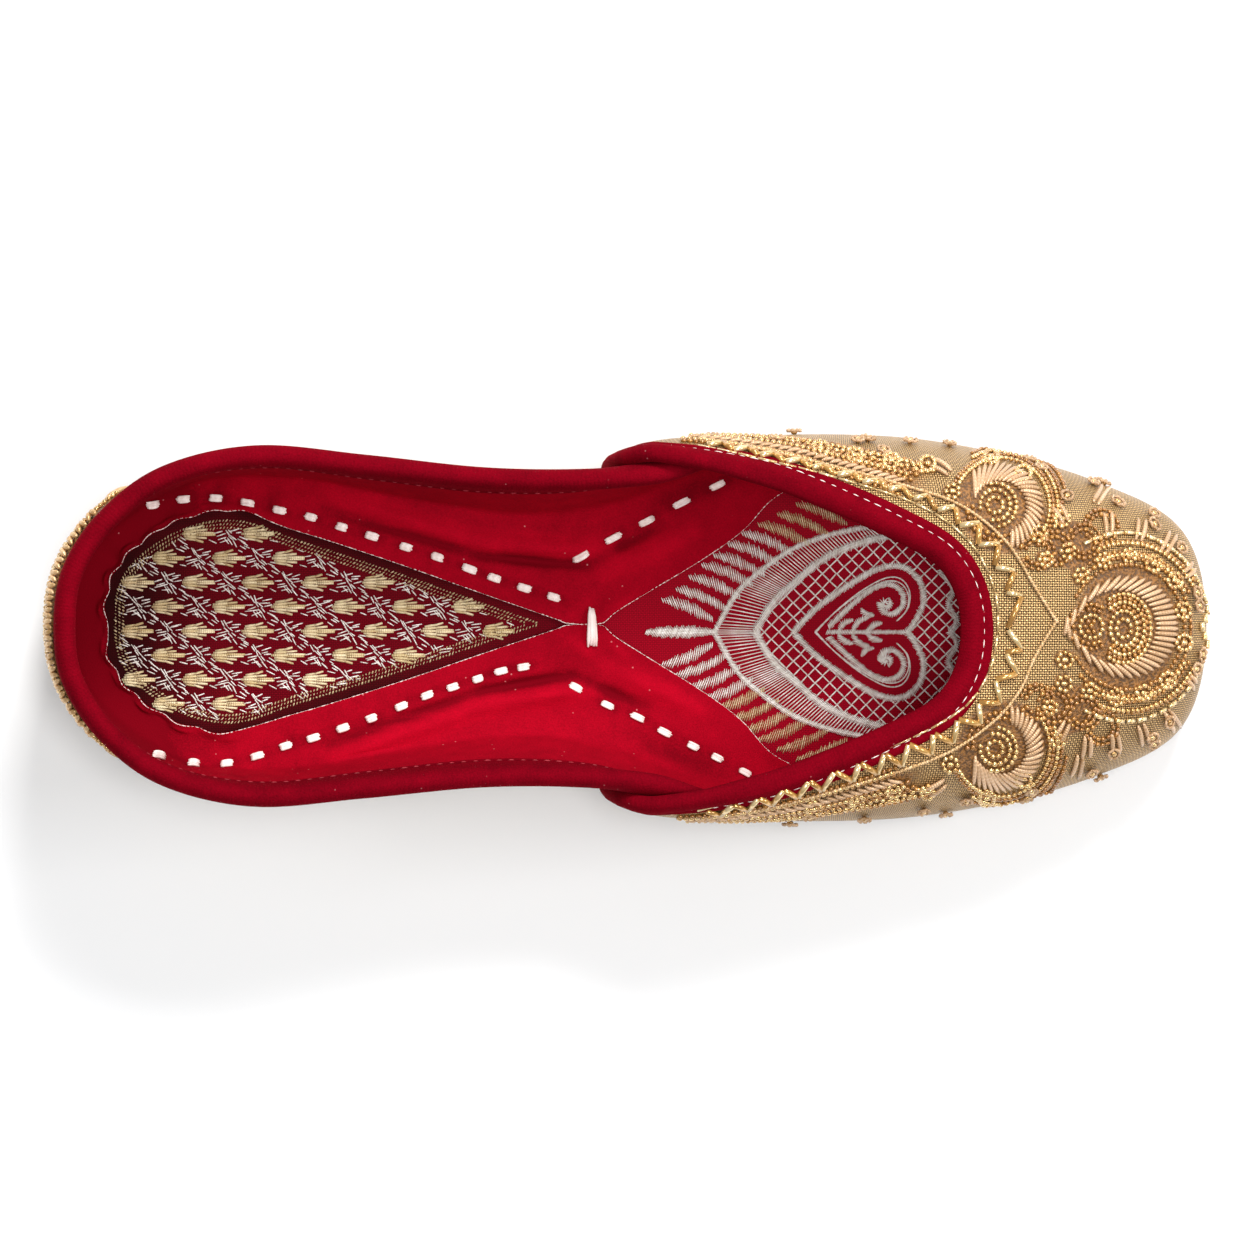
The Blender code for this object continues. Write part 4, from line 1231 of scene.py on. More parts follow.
def make_throat_binding(vamp_ground):
    """The velvet roll round the vamp, with a flat stitched band that lies on the tissue."""
    stops = throat_stops()
    middles = smoothed(np.array([tuple(stop[0]) for stop in stops]), 3)
    outs = smoothed(np.array([tuple(stop[1]) for stop in stops]), 6)
    outs /= np.linalg.norm(outs, axis=1, keepdims=True)
    rings, outs = edge_rings(middles, outs, [stop[2] for stop in stops], THROAT_PROFILE)
    for ring in rings:
        for ply in range(THROAT_RAISED):
            point = Vector(ring[ply])
            hit, normal = vamp_ground.nearest(point)
            height = THROAT_PROFILE[ply].out * MM - VAMP_WALL / 2
            if ply < THROAT_BAND or (point - hit).dot(normal) < height:
                ring[ply] = hit + normal * height
    hand_in(swept("throat_velvet", rings, EDGE_VELVET), "red_velvet", "throat_binding")
    chart = Chart()
    chart.path([(Vector(rings[k, THROAT_GROOVE]), Vector(outs[k])) for k in range(4, len(rings) - 4)])
    laid("throat_stitches", chart, STROKES_ALONG, SEWING_THREAD, "red_velvet", Spacing=0.0026, Length=0.0015,
         Thickness=0.00021, Lift=0.00010, Variation=0.25, Seed=12)


# Vamp cloth

def vamp_stops():
    corner = spread(EAR_TOP, EAR_TOP + EAR_ROUND, 16)[:-1]
    left = corner + spread(EAR_TOP + EAR_ROUND, TOE_RIB, 120)
    return left + [ROUND - place for place in reversed(left[:-1])]


def vamp_grids():
    """The vamp's inner and outer faces, rows from the sole up to the throat."""
    inner = []
    outer = []
    for place in vamp_stops():
        faces = [vamp_place(place, height) for height in spread(WALL_FOOT_SHARE, 1.0, 64)]
        inner.append([point for point, _ in faces])
        outer.append([point + normal * VAMP_WALL for point, normal in faces])
        for point in inner[-1] + outer[-1]:
            point.z = max(point.z, sole_top(point.x + BOX_MIDDLE.x) + GAP)
    return as_grid(outer), as_grid(inner)


def cloth_places(grid):
    """Flat places of the cloth: the plan, stretched out by the way down the sides."""
    steps = np.diff(grid, axis=1)[:, ::-1]
    flat = np.linalg.norm(steps[..., :2], axis=2)
    excess = np.cumsum(np.linalg.norm(steps, axis=2) - flat, axis=1)
    excess = np.concatenate([np.zeros((len(grid), 1)), excess], axis=1)[:, ::-1]
    middle = len(grid) // 2
    outward = grid[:, 20, :2] - np.array([0.045, 0.0])
    outward /= np.linalg.norm(outward, axis=1, keepdims=True)
    outward[middle] = (1.0, 0.0)
    return grid[..., :2] + outward[:, None] * excess[..., None]


# Beadwork of the vamp, in millimetres as the camera sees it
INNER_LINE = [
    (17.5, 39.3), (29.4, 36.8), (48.1, 32.1), (64.8, 26.4), (75.6, 18.3), (80.9, 7.7), (81.3, -2.9),
    (78.7, -11.7), (72.7, -18.7), (60.4, -25.2), (42.8, -31.6), (29.4, -36.3), (17.5, -39.6),
]
OUTER_LEFT = [
    (16.0, 41.0), (28.0, 39.0), (42.8, 35.6), (60.4, 31.0), (73.6, 26.4), (83.5, 18.4), (89.7, 8.6),
    (94.3, 1.3),
]
OUTER_RIGHT = [
    (94.3, 1.3), (89.7, -6.4), (86.1, -14.2), (79.5, -21.5), (67.4, -28.8), (42.8, -36.4), (28.0, -40.0),
    (17.0, -41.6),
]
DROP_MIDDLE = (109.8, 0.0)
DROP_RADIUS = 11.3
DROP_TANGENT = 139        # where the drop's straight sides leave its round, in degrees from the toe
STRIP_PITCH = 1.28
STRIP_LEAN = 0.47
ZIGZAG_STEP = 2.9
ZIGZAG_SWING = 1.9
ZIGZAG_REACH = 4.2
RINGS_MIDDLE = (109.0, -0.3)
PAISLEY_MIDDLE = (82.2, 26.2)
LEAVES = [
    (105.9, 20.3, 95), (112.3, 18.8, 80), (117.6, 16.2, 62), (122.2, 11.2, 35), (101.2, -23.8, 265),
    (99.6, -28.2, 255), (107.0, -22.8, 275), (112.8, -21.2, 285), (118.4, -18.2, 300), (123.2, -11.0, 325),
    (96.5, 22.5, 120), (103.0, 27.0, 60), (71.0, 33.6, 150), (70.0, -33.8, 210), (96.8, -20.5, 240),
]
LOOPS = [
    (50.7, 40.6), (56.4, 38.5), (62.2, 40.4), (102.4, 31.4), (107.7, 27.2), (115.6, 24.6), (96.5, 28.5),
    (125.4, 4.6), (126.0, -6.0), (118.9, -20.6), (115.6, -25.4), (106.8, -27.4), (102.0, -31.6),
    (88.8, -35.6), (74.5, -37.8), (65.2, -40.0), (121.5, 17.2), (91.0, 34.6), (40.0, -41.2), (33.0, 41.0),
]
# Loops down the sides: rib place, and way down from the throat's edge
SIDE_LOOPS = [(8.4, 27), (9.1, 31), (9.9, 28), (10.6, 36), (11.4, 40), (12.1, 47), (12.9, 44), (13.6, 50)]
FLOWERS = [
    (99.8, 11.3), (104.6, 14.6), (110.2, 15.6), (115.6, 13.9), (120.2, 10.2), (96.2, -7.2), (96.0, -12.4),
    (101.6, -13.9), (107.4, -15.4), (113.4, -14.4), (118.6, -11.6), (122.0, 3.6), (122.2, -3.4), (96.8, 16.6),
    (92.0, 14.8), (93.0, -17.6), (90.4, 20.4), (71.5, 29.6), (71.0, -30.0), (66.0, 35.6), (66.0, -36.0),
    (95.5, 23.6), (94.6, -24.8), (87.0, -33.0), (87.0, 33.4), (80.0, 37.0), (79.0, -37.2), (58.0, 36.2),
    (58.5, -35.8), (50.0, 37.4), (50.5, -38.0), (42.5, 38.8), (41.0, -39.6),
]
# Round grounds of close stitching: x, y and reach
STITCHED = [
    (110.5, -0.2, 16.0), (82.6, 26.4, 12.0), (82.6, -26.4, 12.0), (98.0, 18.2, 6.5), (98.0, -18.2, 6.5),
]
FLOWER_GROUND = 2.6
TIP_RINGS = (101.9, 0.1)
ARC_MIDDLE = (109.2, 0.0)
ARC_RADIUS = 18.4
BOW_FROM = 8.5            # scallops of beads down the sides: rib places, rise and way down
BOW_WIDE = 0.27
BOW_RISE = 1.7
BOW_DROP = 18.9
SIDE_BULGE = 1.12         # how much longer the vamp's curved side is than the straight way to its foot


def polar(middle, radius, angle, stretch=1.0):
    turn = math.radians(angle)
    return middle[0] + radius * math.cos(turn), middle[1] + radius * stretch * math.sin(turn)


def drop_outline(angle):
    """The drop's outline towards an angle in degrees from the toe: a round with straight sides to its tip."""
    past = math.radians(max(abs(angle) - DROP_TANGENT, 0))
    return Vector(polar(DROP_MIDDLE, DROP_RADIUS / math.cos(past), angle))


def evenly(curve, step):
    """Points at even steps along a line of flat points."""
    ways = [(end - start).length for start, end in zip(curve, curve[1:])]
    marks = np.concatenate([[0], np.cumsum(ways)])
    stops = np.linspace(0, marks[-1], max(int(marks[-1] / step + 0.5), 2) + 1)
    xs = np.interp(stops, marks, [point.x for point in curve])
    ys = np.interp(stops, marks, [point.y for point in curve])
    return [Vector((float(x), float(y))) for x, y in zip(xs, ys)]


def drop_strips(ground, chart):
    """Wound strips round the drop, square to it at the toe and leaning more and more towards its tip."""
    outline = [drop_outline(angle) for angle in spread(-176, 176, 700)]
    run = 0.0
    for before, end in zip(outline, outline[1:]):
        turn = math.atan2(end.y - DROP_MIDDLE[1], end.x - DROP_MIDDLE[0])
        way = Vector((math.cos(STRIP_LEAN * turn), math.sin(STRIP_LEAN * turn)))
        step = end - before
        run += abs(step.x * way.y - step.y * way.x)
        if run >= STRIP_PITCH:
            run = 0.0
            length = mix(5.0, 4.2, smooth((abs(turn) - 1.6) / 1.5))
            chart.stitch(ground.seen(*(end - way * length)), ground.seen(*end))


def paisley_strips(ground, chart, side):
    count = 25
    for number in range(count):
        angle = mix(160, -62, number / (count - 1))
        lean = mix(34, 14, number / (count - 1))
        start = polar(PAISLEY_MIDDLE, mix(6.0, 5.2, number / count), angle)
        end = polar(PAISLEY_MIDDLE, mix(10.4, 9.4, smooth(number / 10)), angle - lean)
        chart.stitch(ground.seen(start[0], side * start[1]), ground.seen(end[0], side * end[1]))


def zigzag_corners(inner, outer):
    """Corners of the zigzag between two lines, at even steps along the first."""
    corners = []
    for number, point in enumerate(evenly(inner, ZIGZAG_STEP)):
        across = min((stop - point for stop in outer), key=lambda way: way.length)
        swing = min(0.33 * across.length, ZIGZAG_SWING)
        reach = min(across.length / 2, ZIGZAG_REACH) + (swing if number % 2 else -swing)
        corners.append(point + across.normalized() * reach)
    return corners


def arc(middle, radius, first, last, stretch=1.0):
    count = max(int(abs(last - first) / 9), 4)
    return [polar(middle, radius, angle, stretch) for angle in spread(first, last, count)]


def on_side(ground, side, place, drop):
    """A place on the vamp's left or right side, at a way down from the throat's edge in millimetres."""
    place = place if side > 0 else ROUND - place
    top, _ = vamp_place(place, 1.0)
    length = (top - vamp_place(place, 0.0)[0]).length * SIDE_BULGE
    point, normal = vamp_place(place, 1 - drop * MM / length)
    return ground.nearest(point + normal * VAMP_WALL)


def edge_work(ground):
    """The gold lines beside the throat: bugles, a couched cord, and the zigzag between them."""
    inner = flowing(INNER_LINE, 10)
    outer_left = flowing(OUTER_LEFT, 10)
    outer_right = flowing(OUTER_RIGHT, 10)

    line = Chart()
    line.path(ground.line(inner))
    laid("inner_bugle_line", line, BUGLES_ALONG, BUGLE_GLASS, "beadwork", Spacing=0.0044, Length=0.0041,
         Thickness=0.00062, Lift=0.0003, Seed=21)

    cord = Chart()
    cord.path(ground.line(outer_left))
    cord.path(ground.line(outer_right))
    laid("couched_cord", cord, STROKES_ALONG, COUCHED_GOLD, "beadwork", Spacing=0.0010, Length=0.0016,
         Thickness=0.00075, Lift=0.00032, Turn=0.22, Variation=0.10, Seed=22)

    corners = zigzag_corners(inner, outer_left + outer_right[1:])
    for name, first, material in (("bright_zigzag", 0, BUGLE_GLASS), ("amber_zigzag", 1, AMBER_BUGLE)):
        zigzag = Chart()
        for start, end in list(zip(corners, corners[1:]))[first::2]:
            zigzag.stitch(ground.seen(*start.lerp(end, 0.04)), ground.seen(*start.lerp(end, 0.96)))
        laid(name, zigzag, BUGLES, material, "beadwork", Thickness=0.00135, Lift=0.00070, Seed=23 + first)

def bullion_work(ground):
    """Wound strips: round the drop and the paisleys, in pairs as leaves, and in a row down each side."""
    strips = Chart()
    drop_strips(ground, strips)
    paisley_strips(ground, strips, 1)
    paisley_strips(ground, strips, -1)
    for x, y, angle in LEAVES:
        for aside in (-0.6, 0.6):
            root = polar((x, y), aside, angle + 90)
            end = polar(root, 4.9, angle + 5 * aside)
            strips.stitch(ground.seen(*root), ground.seen(*end), 1.05)
    for place in spread(8.15, 10.6, 24):
        for side in (1, -1):
            strips.stitch(on_side(ground, side, place, 11.2), on_side(ground, side, place + 0.14, 13.4), 0.85)
    laid("bullion_strips", strips, STITCHES, BULLION, "beadwork", Thickness=0.00104, Lift=0.00036,
         Variation=0.05, Seed=24)

def bright_beads(ground, dice):
    """Bright seed beads: rings, rows and scallops down the sides, arcs of the drop, and flowers."""
    seeds = Chart()
    for radius, reach in ((1.6, 180), (3.0, 180), (4.5, 130), (5.9, 122)):
        seeds.path(ground.line(arc(RINGS_MIDDLE, radius, -reach, reach, 1.28)))
    seeds.path(ground.line(arc(TIP_RINGS, 2.5, -180, 180)))
    for side in (1, -1):
        middle = (PAISLEY_MIDDLE[0] - 1.4, side * (PAISLEY_MIDDLE[1] + 0.4))
        seeds.path(ground.line(arc(middle, 1.7, -180, 180)))
        seeds.path(ground.line(arc(middle, 3.3, side * 190, side * -100)))
        seeds.path(ground.line(arc(middle, 4.7, side * 100, side * -80)))
        around = (PAISLEY_MIDDLE[0], side * PAISLEY_MIDDLE[1])
        seeds.path(ground.line(arc(around, 10.6, side * 150, side * -35)))
        seeds.path(ground.line(arc(around, 12.4, side * 120, side * -20)))
        for place_from, drop in ((8.1, 9.6), (8.2, 14.9), (8.5, 19.5)):
            seeds.path([on_side(ground, side, place, drop) for place in spread(place_from, 10.7, 26)])
        for bow in range(9):
            place = BOW_FROM + bow * BOW_WIDE
            points = []
            for step in range(7):
                rise = BOW_RISE * math.sin(math.pi * step / 6)
                points.append(on_side(ground, side, place + BOW_WIDE * step / 6, BOW_DROP - rise))
            seeds.path(points)
    for radius in (14.2, 16.4):
        seeds.path(ground.line(arc(DROP_MIDDLE, radius, 112, 30, 1.12)))
        seeds.path(ground.line(arc(DROP_MIDDLE, radius, -30, -112, 1.12)))
    for x, y in FLOWERS:
        radius = dice.uniform(1.35, 1.7)
        seeds.path(ground.line(arc((x, y), radius, -180, 180)))
        seeds.path(ground.line([(x - 0.2, y), (x + 0.2, y)]))
    laid("seed_beads", seeds, BEADS_ALONG, SEED_GLASS, "beadwork", Spacing=0.00126, Length=0.00125,
         Thickness=0.00118, Lift=0.00048, Variation=0.12, Seed=25)

def outer_arc(ground):
    """The arc round the drop, bugles and beads by turns."""
    ring = Chart()
    ring.path(ground.line(arc(ARC_MIDDLE, ARC_RADIUS, 116, -116, 1.12)))
    laid("outer_bugle_arc", ring, BUGLES_ALONG, BUGLE_GLASS, "beadwork", Spacing=0.0029, Length=0.0019,
         Thickness=0.0010, Lift=0.00045, Variation=0.15, Seed=26)
    ring = Chart()
    ring.path(ground.line(arc(ARC_MIDDLE, ARC_RADIUS, 111.5, -116, 1.12)))
    laid("outer_bead_arc", ring, BEADS_ALONG, SEED_GLASS, "beadwork", Spacing=0.0029, Length=0.0010,
         Thickness=0.0012, Lift=0.00045, Variation=0.1, Seed=27)

def wire_loops(ground, dice):
    """Small loops of wound wire with a bead in each, over the toe and down the sides."""
    loops = Chart()
    hearts = Chart()
    spots = [ground.seen(x, y) for x, y in LOOPS]
    for place, drop in SIDE_LOOPS:
        spots += [on_side(ground, side, place, drop) for side in (1, -1)]
    for spot, normal in spots:
        side = normal.cross(Vector((dice.uniform(-1, 1), dice.uniform(-1, 1), 0.3))).normalized()
        other = normal.cross(side)
        ring = []
        for turn in spread(0, 2 * math.pi, 9)[:-1]:
            ring.append((spot + (side * math.cos(turn) + other * math.sin(turn) * 0.8) * 0.0016, normal))
        loops.path(ring, closed=True)
        hearts.path([(spot - side * 0.0002, normal), (spot + side * 0.0002, normal)])
    laid("bead_loops", loops, STROKES_ALONG, BULLION, "beadwork", Spacing=0.0013, Length=0.0015,
         Thickness=0.0008, Lift=0.0006, Variation=0.15, Seed=28)
    laid("loop_hearts", hearts, BEADS_ALONG, SEED_GLASS, "beadwork", Spacing=0.002, Length=0.0012,
         Thickness=0.0014, Lift=0.0006, Variation=0.1, Seed=29)

def make_beadwork(ground):
    """The gold work of the vamp."""
    dice = random.Random(41)
    edge_work(ground)
    bullion_work(ground)
    bright_beads(ground, dice)
    amber_fill(ground)
    outer_arc(ground)
    wire_loops(ground, dice)

def amber_fill(ground):
    """Amber beads close together between the bright rows."""
    fill = Chart()
    for radius, far, near in ((12.7, 150, 0), (14.1, 135, 0), (15.3, 122, 28), (17.4, 108, 34)):
        for side in (1, -1):
            fill.path(ground.line(arc(DROP_MIDDLE, radius, side * far, side * near, 1.08)))
    for radius in (3.7, 5.2):
        fill.path(ground.line(arc(RINGS_MIDDLE, radius, -125, 125, 1.28)))
    for radius in (0.2, 1.25, 3.8, 4.9):
        fill.path(ground.line(arc(TIP_RINGS, radius, 60, 300)))
    for side in (1, -1):
        middle = (PAISLEY_MIDDLE[0], side * PAISLEY_MIDDLE[1])
        for radius, far, near in ((11.5, 150, -45), (13.4, 118, -15), (14.6, 95, 10)):
            fill.path(ground.line(arc(middle, radius, side * far, side * near)))
        for radius in (6.2, 7.4):
            fill.path(ground.line(arc(middle, radius, side * 178, side * 290)))
        for x, y in ((94.0, 17.2), (90.2, 16.4), (100.4, 18.8), (104.2, 22.0)):
            for radius in (2.6, 3.7):
                fill.path(ground.line(arc((x, side * y), radius, -150, 160)))
        for place_from, drop in ((8.1, 8.6), (8.1, 10.4), (8.2, 13.9), (8.3, 16.0), (8.3, 17.2), (8.6, 20.7)):
            fill.path([on_side(ground, side, place, drop) for place in spread(place_from, 10.8, 26)])
    laid("amber_beads", fill, BEADS_ALONG, AMBER_GLASS, "beadwork", Spacing=0.00132, Length=0.00125,
         Thickness=0.00112, Lift=0.00030, Variation=0.22, Seed=30)


def stitched_ground(grid, ground):
    """Where close stitching hides the tissue: under the drop, the paisleys and the rows beside them."""
    mask = np.zeros(grid.shape[:2])
    for x, y, reach in STITCHED + [(x, y, FLOWER_GROUND) for x, y in FLOWERS]:
        away = np.linalg.norm(grid - np.array(ground.seen(x, y)[0]), axis=2) / (reach * MM)
        mask = np.maximum(mask, np.clip(4 - 4 * away, 0, 1))
    drop = np.linalg.norm(grid - grid[:, -1:], axis=2) / MM
    along = grid[..., 0] / MM
    beside = np.clip((70 - along) / 12, 0, 1) * np.clip((along - 14) / 8, 0, 1)
    band = np.clip((drop - 9.0) / 1.5, 0, 1) * np.clip((20.0 - drop) / 2.0, 0, 1)
    return np.maximum(mask, 0.85 * beside * band)


def make_vamp():
    outer, inner = vamp_grids()
    ground = Ground(outer)
    cloth = shell("tissue_vamp", outer, inner, GOLD_TISSUE, uv=cloth_places(outer),
                  paint={"ground": stitched_ground(outer, ground)})
    hand_in(cloth, "gold_tissue", "vamp")
    return ground


# Heel patch

def patch_place(place, share, offset):
    half = PATCH_HALF * math.sqrt(max(1 - (place / PATCH_END) ** 2, PATCH_BLUNT))
    level = PATCH_MIDDLE + share * half
    return off_last(place, level, UPPER_WALL + GAP + offset), last_normal(place, level)


def make_heel_patch():
    """The beaded patch round the back of the heel."""
    places = spread(-PATCH_END, PATCH_END, 60)
    shares = spread(-1, 1, 20)
    front = as_grid([[patch_place(place, share, 0.0009)[0] for share in shares] for place in places])
    back = as_grid([[patch_place(place, share, 0.0)[0] for share in shares] for place in places])
    plain = np.ones(front.shape[:2])
    uv = np.stack(np.meshgrid(np.linspace(0, 0.062, 60), np.linspace(0, 0.026, 20), indexing="ij"), -1)
    pad = shell("patch_ground", front, back, GOLD_TISSUE, uv=uv, paint={"ground": plain})
    hand_in(pad, "beadwork", "heel_patch")

    seeds = Chart()
    around = [(place, 0.86) for place in spread(-2.15, 2.15, 60)]
    around += [(place, -0.86) for place in spread(2.15, -2.15, 60)]
    seeds.path([patch_place(place, share, 0.0009) for place, share in around], closed=True)
    for share, reach in ((0.5, 1.9), (0.0, 2.1), (-0.5, 1.9)):
        seeds.path([patch_place(place, share, 0.0009) for place in spread(-reach, reach, 50)])
    laid("patch_beads", seeds, BEADS_ALONG, SEED_GLASS, "beadwork", Spacing=0.0013, Length=0.0011,
         Thickness=0.0013, Lift=0.0004, Variation=0.12, Seed=31)

    work = Chart()
    for number in range(26):
        place = mix(-1.85, 1.85, number / 25)
        for low, high in ((0.1, 0.42), (-0.42, -0.1)):
            lean = 0.05 if number % 2 else -0.05
            work.stitch(patch_place(place - lean, low, 0.0009), patch_place(place + lean, high, 0.0009))
    laid("patch_bugles", work, BUGLES, BUGLE_GLASS, "beadwork", Thickness=0.0008, Lift=0.0004, Seed=32)

    leaves = Chart()
    for number in range(19):
        place = mix(-1.75, 1.75, number / 18)
        for sign in (1, -1):
            root = patch_place(place, 0.92 * sign, 0.0006)
            for lean in (-0.07, 0.07):
                half = PATCH_HALF * math.sqrt(max(1 - (place / PATCH_END) ** 2, PATCH_BLUNT))
                level = PATCH_MIDDLE + sign * (half + 0.045)
                tip = off_last(place + lean, level, UPPER_WALL + 0.0003), last_normal(place, level)
                leaves.stitch(root, tip)
    for end in (-1, 1):
        for share in (-0.6, 0.0, 0.6):
            root = patch_place(end * 1.95, share, 0.0006)
            level = PATCH_MIDDLE + share * 0.06
            tip = off_last(end * 2.3, level, UPPER_WALL + 0.0003), last_normal(end * 2.3, level)
            leaves.stitch(root, tip)
    laid("patch_leaves", leaves, STITCHES, COUCHED_GOLD, "beadwork", Thickness=0.0012, Lift=0.0009, Seed=33)


# Insole coverings

@lru_cache(maxsize=None)
def sock_outline():
    places = spread(0, TOE_RIB, 160)
    stops = [plan(place, "foot") - plan_outward(place, "foot") * (2 * GAP) for place in places]
    return [stop.x for stop in stops], [stop.y for stop in stops]


def edge_distance(x, y):
    """How far a plan point lies from the lining's raw edge, in millimetres."""
    y = abs(y)
    return min(math.hypot(x - stop[1], y - stop[2]) for stop in raw_edge_stops()) * 1000


def make_sock(name, node, slot, material, start, end, shade):
    """A covering of the insole between two stations of the last, with the painted shade that the function
    shade gives kept as its attribute shade.
    """
    xs, ys = sock_outline()
    low, high = xs[0], xs[-1]
    stations = [mix(start, end, share) for share in spread(0, 1, 150)]
    front = []
    values = []
    for station in stations:
        x = min(max(station, low), high)
        half = float(np.interp(x, xs, ys))
        half = max(half, 0.0002)
        row = [Vector((x, y, sock_top(x))) for y in spread(half, -half, 40)]
        front.append([point - BOX_MIDDLE for point in row])
        values.append([shade(point.x, point.y) for point in row])
    front = as_grid(front)
    back = front - np.array([0.0, 0.0, SOCK_THICKNESS])
    cloth = shell(name, front, back, material, paint={"shade": np.array(values)})
    hand_in(cloth, slot, node)
    return Ground(front)


def heel_shade(x, y):
    """Painted shade: the brocade darkens towards the back of the heel and along the turned-in lining."""
    back = 1 - smooth((x * 1000 - 8) / 26)
    side = 1 - smooth((edge_distance(x, y) - 1.0) / 4.0)
    return max(0.95 * back, 0.75 * side * (1 - smooth((x * 1000 - 60) / 50)))


def fore_shade(x, y):
    # Painted shade: the satin darkens where it runs in under the vamp, towards the toe.
    return 0.7 * smooth((x * 1000 - 190) / 12)


Stroke = namedtuple("Stroke", "x1 y1 x2 y2 wide")
# A bud of the brocade, its tip to the toe, and a sprig, from their own middles in millimetres
BUD = [
    Stroke(-3.6, 0.0, -0.2, 0.0, 0.8), Stroke(-3.2, 0.5, -0.2, 0.75, 0.75),
    Stroke(-3.2, -0.5, -0.2, -0.75, 0.75),
    Stroke(-2.8, 1.0, -0.6, 1.35, 0.6), Stroke(-2.8, -1.0, -0.6, -1.35, 0.6),
    Stroke(-0.9, 1.2, 1.1, 1.8, 0.6),
    Stroke(-0.9, -1.2, 1.1, -1.8, 0.6), Stroke(-0.5, 0.75, 2.0, 0.95, 0.6),
    Stroke(-0.5, -0.75, 2.0, -0.95, 0.6),
    Stroke(-0.6, 0.25, 3.6, 0.2, 0.62), Stroke(-0.6, -0.25, 3.6, -0.2, 0.62),
]
SPRIG = [
    Stroke(-1.6, 2.3, -0.6, 0.9, 0.3), Stroke(-1.0, 2.4, -0.1, 1.0, 0.3), Stroke(-0.7, 1.0, 0.3, -0.2, 0.3),
    Stroke(-0.2, 1.0, 0.9, 0.1, 0.3), Stroke(0.1, -0.3, 1.2, -1.5, 0.3), Stroke(0.6, -0.2, 1.7, -1.3, 0.3),
    Stroke(-2.4, -0.6, -0.5, -0.1, 0.3), Stroke(-2.6, -1.2, -0.2, -0.6, 0.3), Stroke(0.5, 0.6, 2.4, 1.0, 0.3),
    Stroke(0.9, 1.2, 2.9, 1.6, 0.3), Stroke(-1.6, -1.9, 0.2, -1.4, 0.3), Stroke(1.5, 0.0, 3.0, 0.3, 0.3),
    Stroke(-0.6, 1.6, 1.2, 2.1, 0.3), Stroke(-3.0, 0.2, -1.4, 0.5, 0.3), Stroke(-4.6, 2.0, -3.1, 1.3, 0.3),
    Stroke(-3.8, 2.6, -2.4, 1.8, 0.3), Stroke(-3.0, 2.9, -1.9, 2.1, 0.3), Stroke(2.2, -1.2, 3.6, -2.0, 0.3),
    Stroke(3.0, -1.8, 4.4, -2.6, 0.3), Stroke(2.6, -0.7, 4.0, -1.3, 0.3), Stroke(-1.0, -0.9, 0.2, -2.3, 0.3),
    Stroke(-0.3, -1.0, 0.8, -2.5, 0.3), Stroke(0.9, -1.6, 1.9, -2.9, 0.3),
    Stroke(-4.0, -1.3, -2.4, -1.9, 0.3),
]
BUD_PITCH = 13.2
ROW_PITCH = 5.35
BUD_START = (-68.0, -0.9)


def inside_raw_edge(x, y, margin):
    """Whether a place that the camera sees lies on the open brocade, so far from the raw edge."""
    station = (x * MM + BOX_MIDDLE.x)
    across = abs(y + 0.009 * x) * MM
    stops = raw_edge_stops()
    back = [stop for stop in stops if stop[0] <= 6.4]
    if not back[0][1] + margin * MM < station < back[-1][1] - margin * MM:
        return False
    half = float(np.interp(station, [stop[1] for stop in back], [stop[2] for stop in back]))
    return across < half - margin * MM


def make_brocade(ground):
    """Gold buds and silver sprigs in half-drop rows, and the dotted border along the raw edge."""
    dice = random.Random(7)
    buds = Chart()
    sprigs = Chart()
    for row in range(-5, 6):
        shift = BUD_PITCH / 2 if row % 2 else 0.0
        for column in range(-5, 5):
            x = BUD_START[0] + shift + column * BUD_PITCH
            y = BUD_START[1] + row * ROW_PITCH
            if inside_raw_edge(x, y, 3.4):
                for stroke in BUD:
                    start = ground.seen(x + stroke.x1, y + stroke.y1)
                    buds.stitch(start, ground.seen(x + stroke.x2, y + stroke.y2), stroke.wide)
            x += BUD_PITCH / 2
            for stroke in SPRIG:
                x1, y1 = x + stroke.x1 + dice.uniform(-0.25, 0.25), y + stroke.y1 + dice.uniform(-0.2, 0.2)
                x2, y2 = x + stroke.x2 + dice.uniform(-0.25, 0.25), y + stroke.y2 + dice.uniform(-0.2, 0.2)
                if inside_raw_edge(x1, y1, 3.0) and inside_raw_edge(x2, y2, 3.0):
                    sprigs.stitch(ground.seen(x1, y1), ground.seen(x2, y2), stroke.wide)
    laid("brocade_buds", buds, THREADS, BUD_GOLD, "heel_brocade", Thickness=0.00095, Flatness=0.35,
         Lift=0.00006, Variation=0.12, Seed=41)
    laid("brocade_sprigs", sprigs, THREADS, SILVER_THREAD, "heel_brocade", Thickness=0.001, Flatness=0.35,
         Lift=0.00006, Variation=0.15, Seed=42)

    border = Chart()
    stops = [stop for stop in raw_edge_stops() if stop[0] <= 6.3]
    for inset in (0.0022, 0.0030, 0.0038):
        line = []
        for sign in (-1, 1):
            side = []
            for place, _, half in stops:
                if half > inset:
                    point = inset_edge(place, inset)
                    spot = Vector((point.x, sign * point.y, sock_top(point.x))) - BOX_MIDDLE
                    side.append((spot, Vector((0.0, 0.0, 1.0))))
            line = list(reversed(side)) if sign < 0 else line + side
        border.path(line)
    laid("brocade_border", border, STROKES_ALONG, GILT_THREAD, "heel_brocade", Spacing=0.00075, Length=0.0006,
         Thickness=0.0003, Lift=0.00006, Turn=0.9, Variation=0.5, Seed=43)


def inset_edge(place, inset):
    """The raw edge's plan point moved towards the shoe's middle."""
    step = 0.05
    here = raw_edge(place)
    along = raw_edge(place + step) - (raw_edge(place - step) if place > step else mirror_y(raw_edge(step)))
    inward = Vector((along.y, -along.x, 0.0)).normalized()
    return here + inward * inset


def mirror_y(point):
    return Vector((point.x, -point.y, point.z))


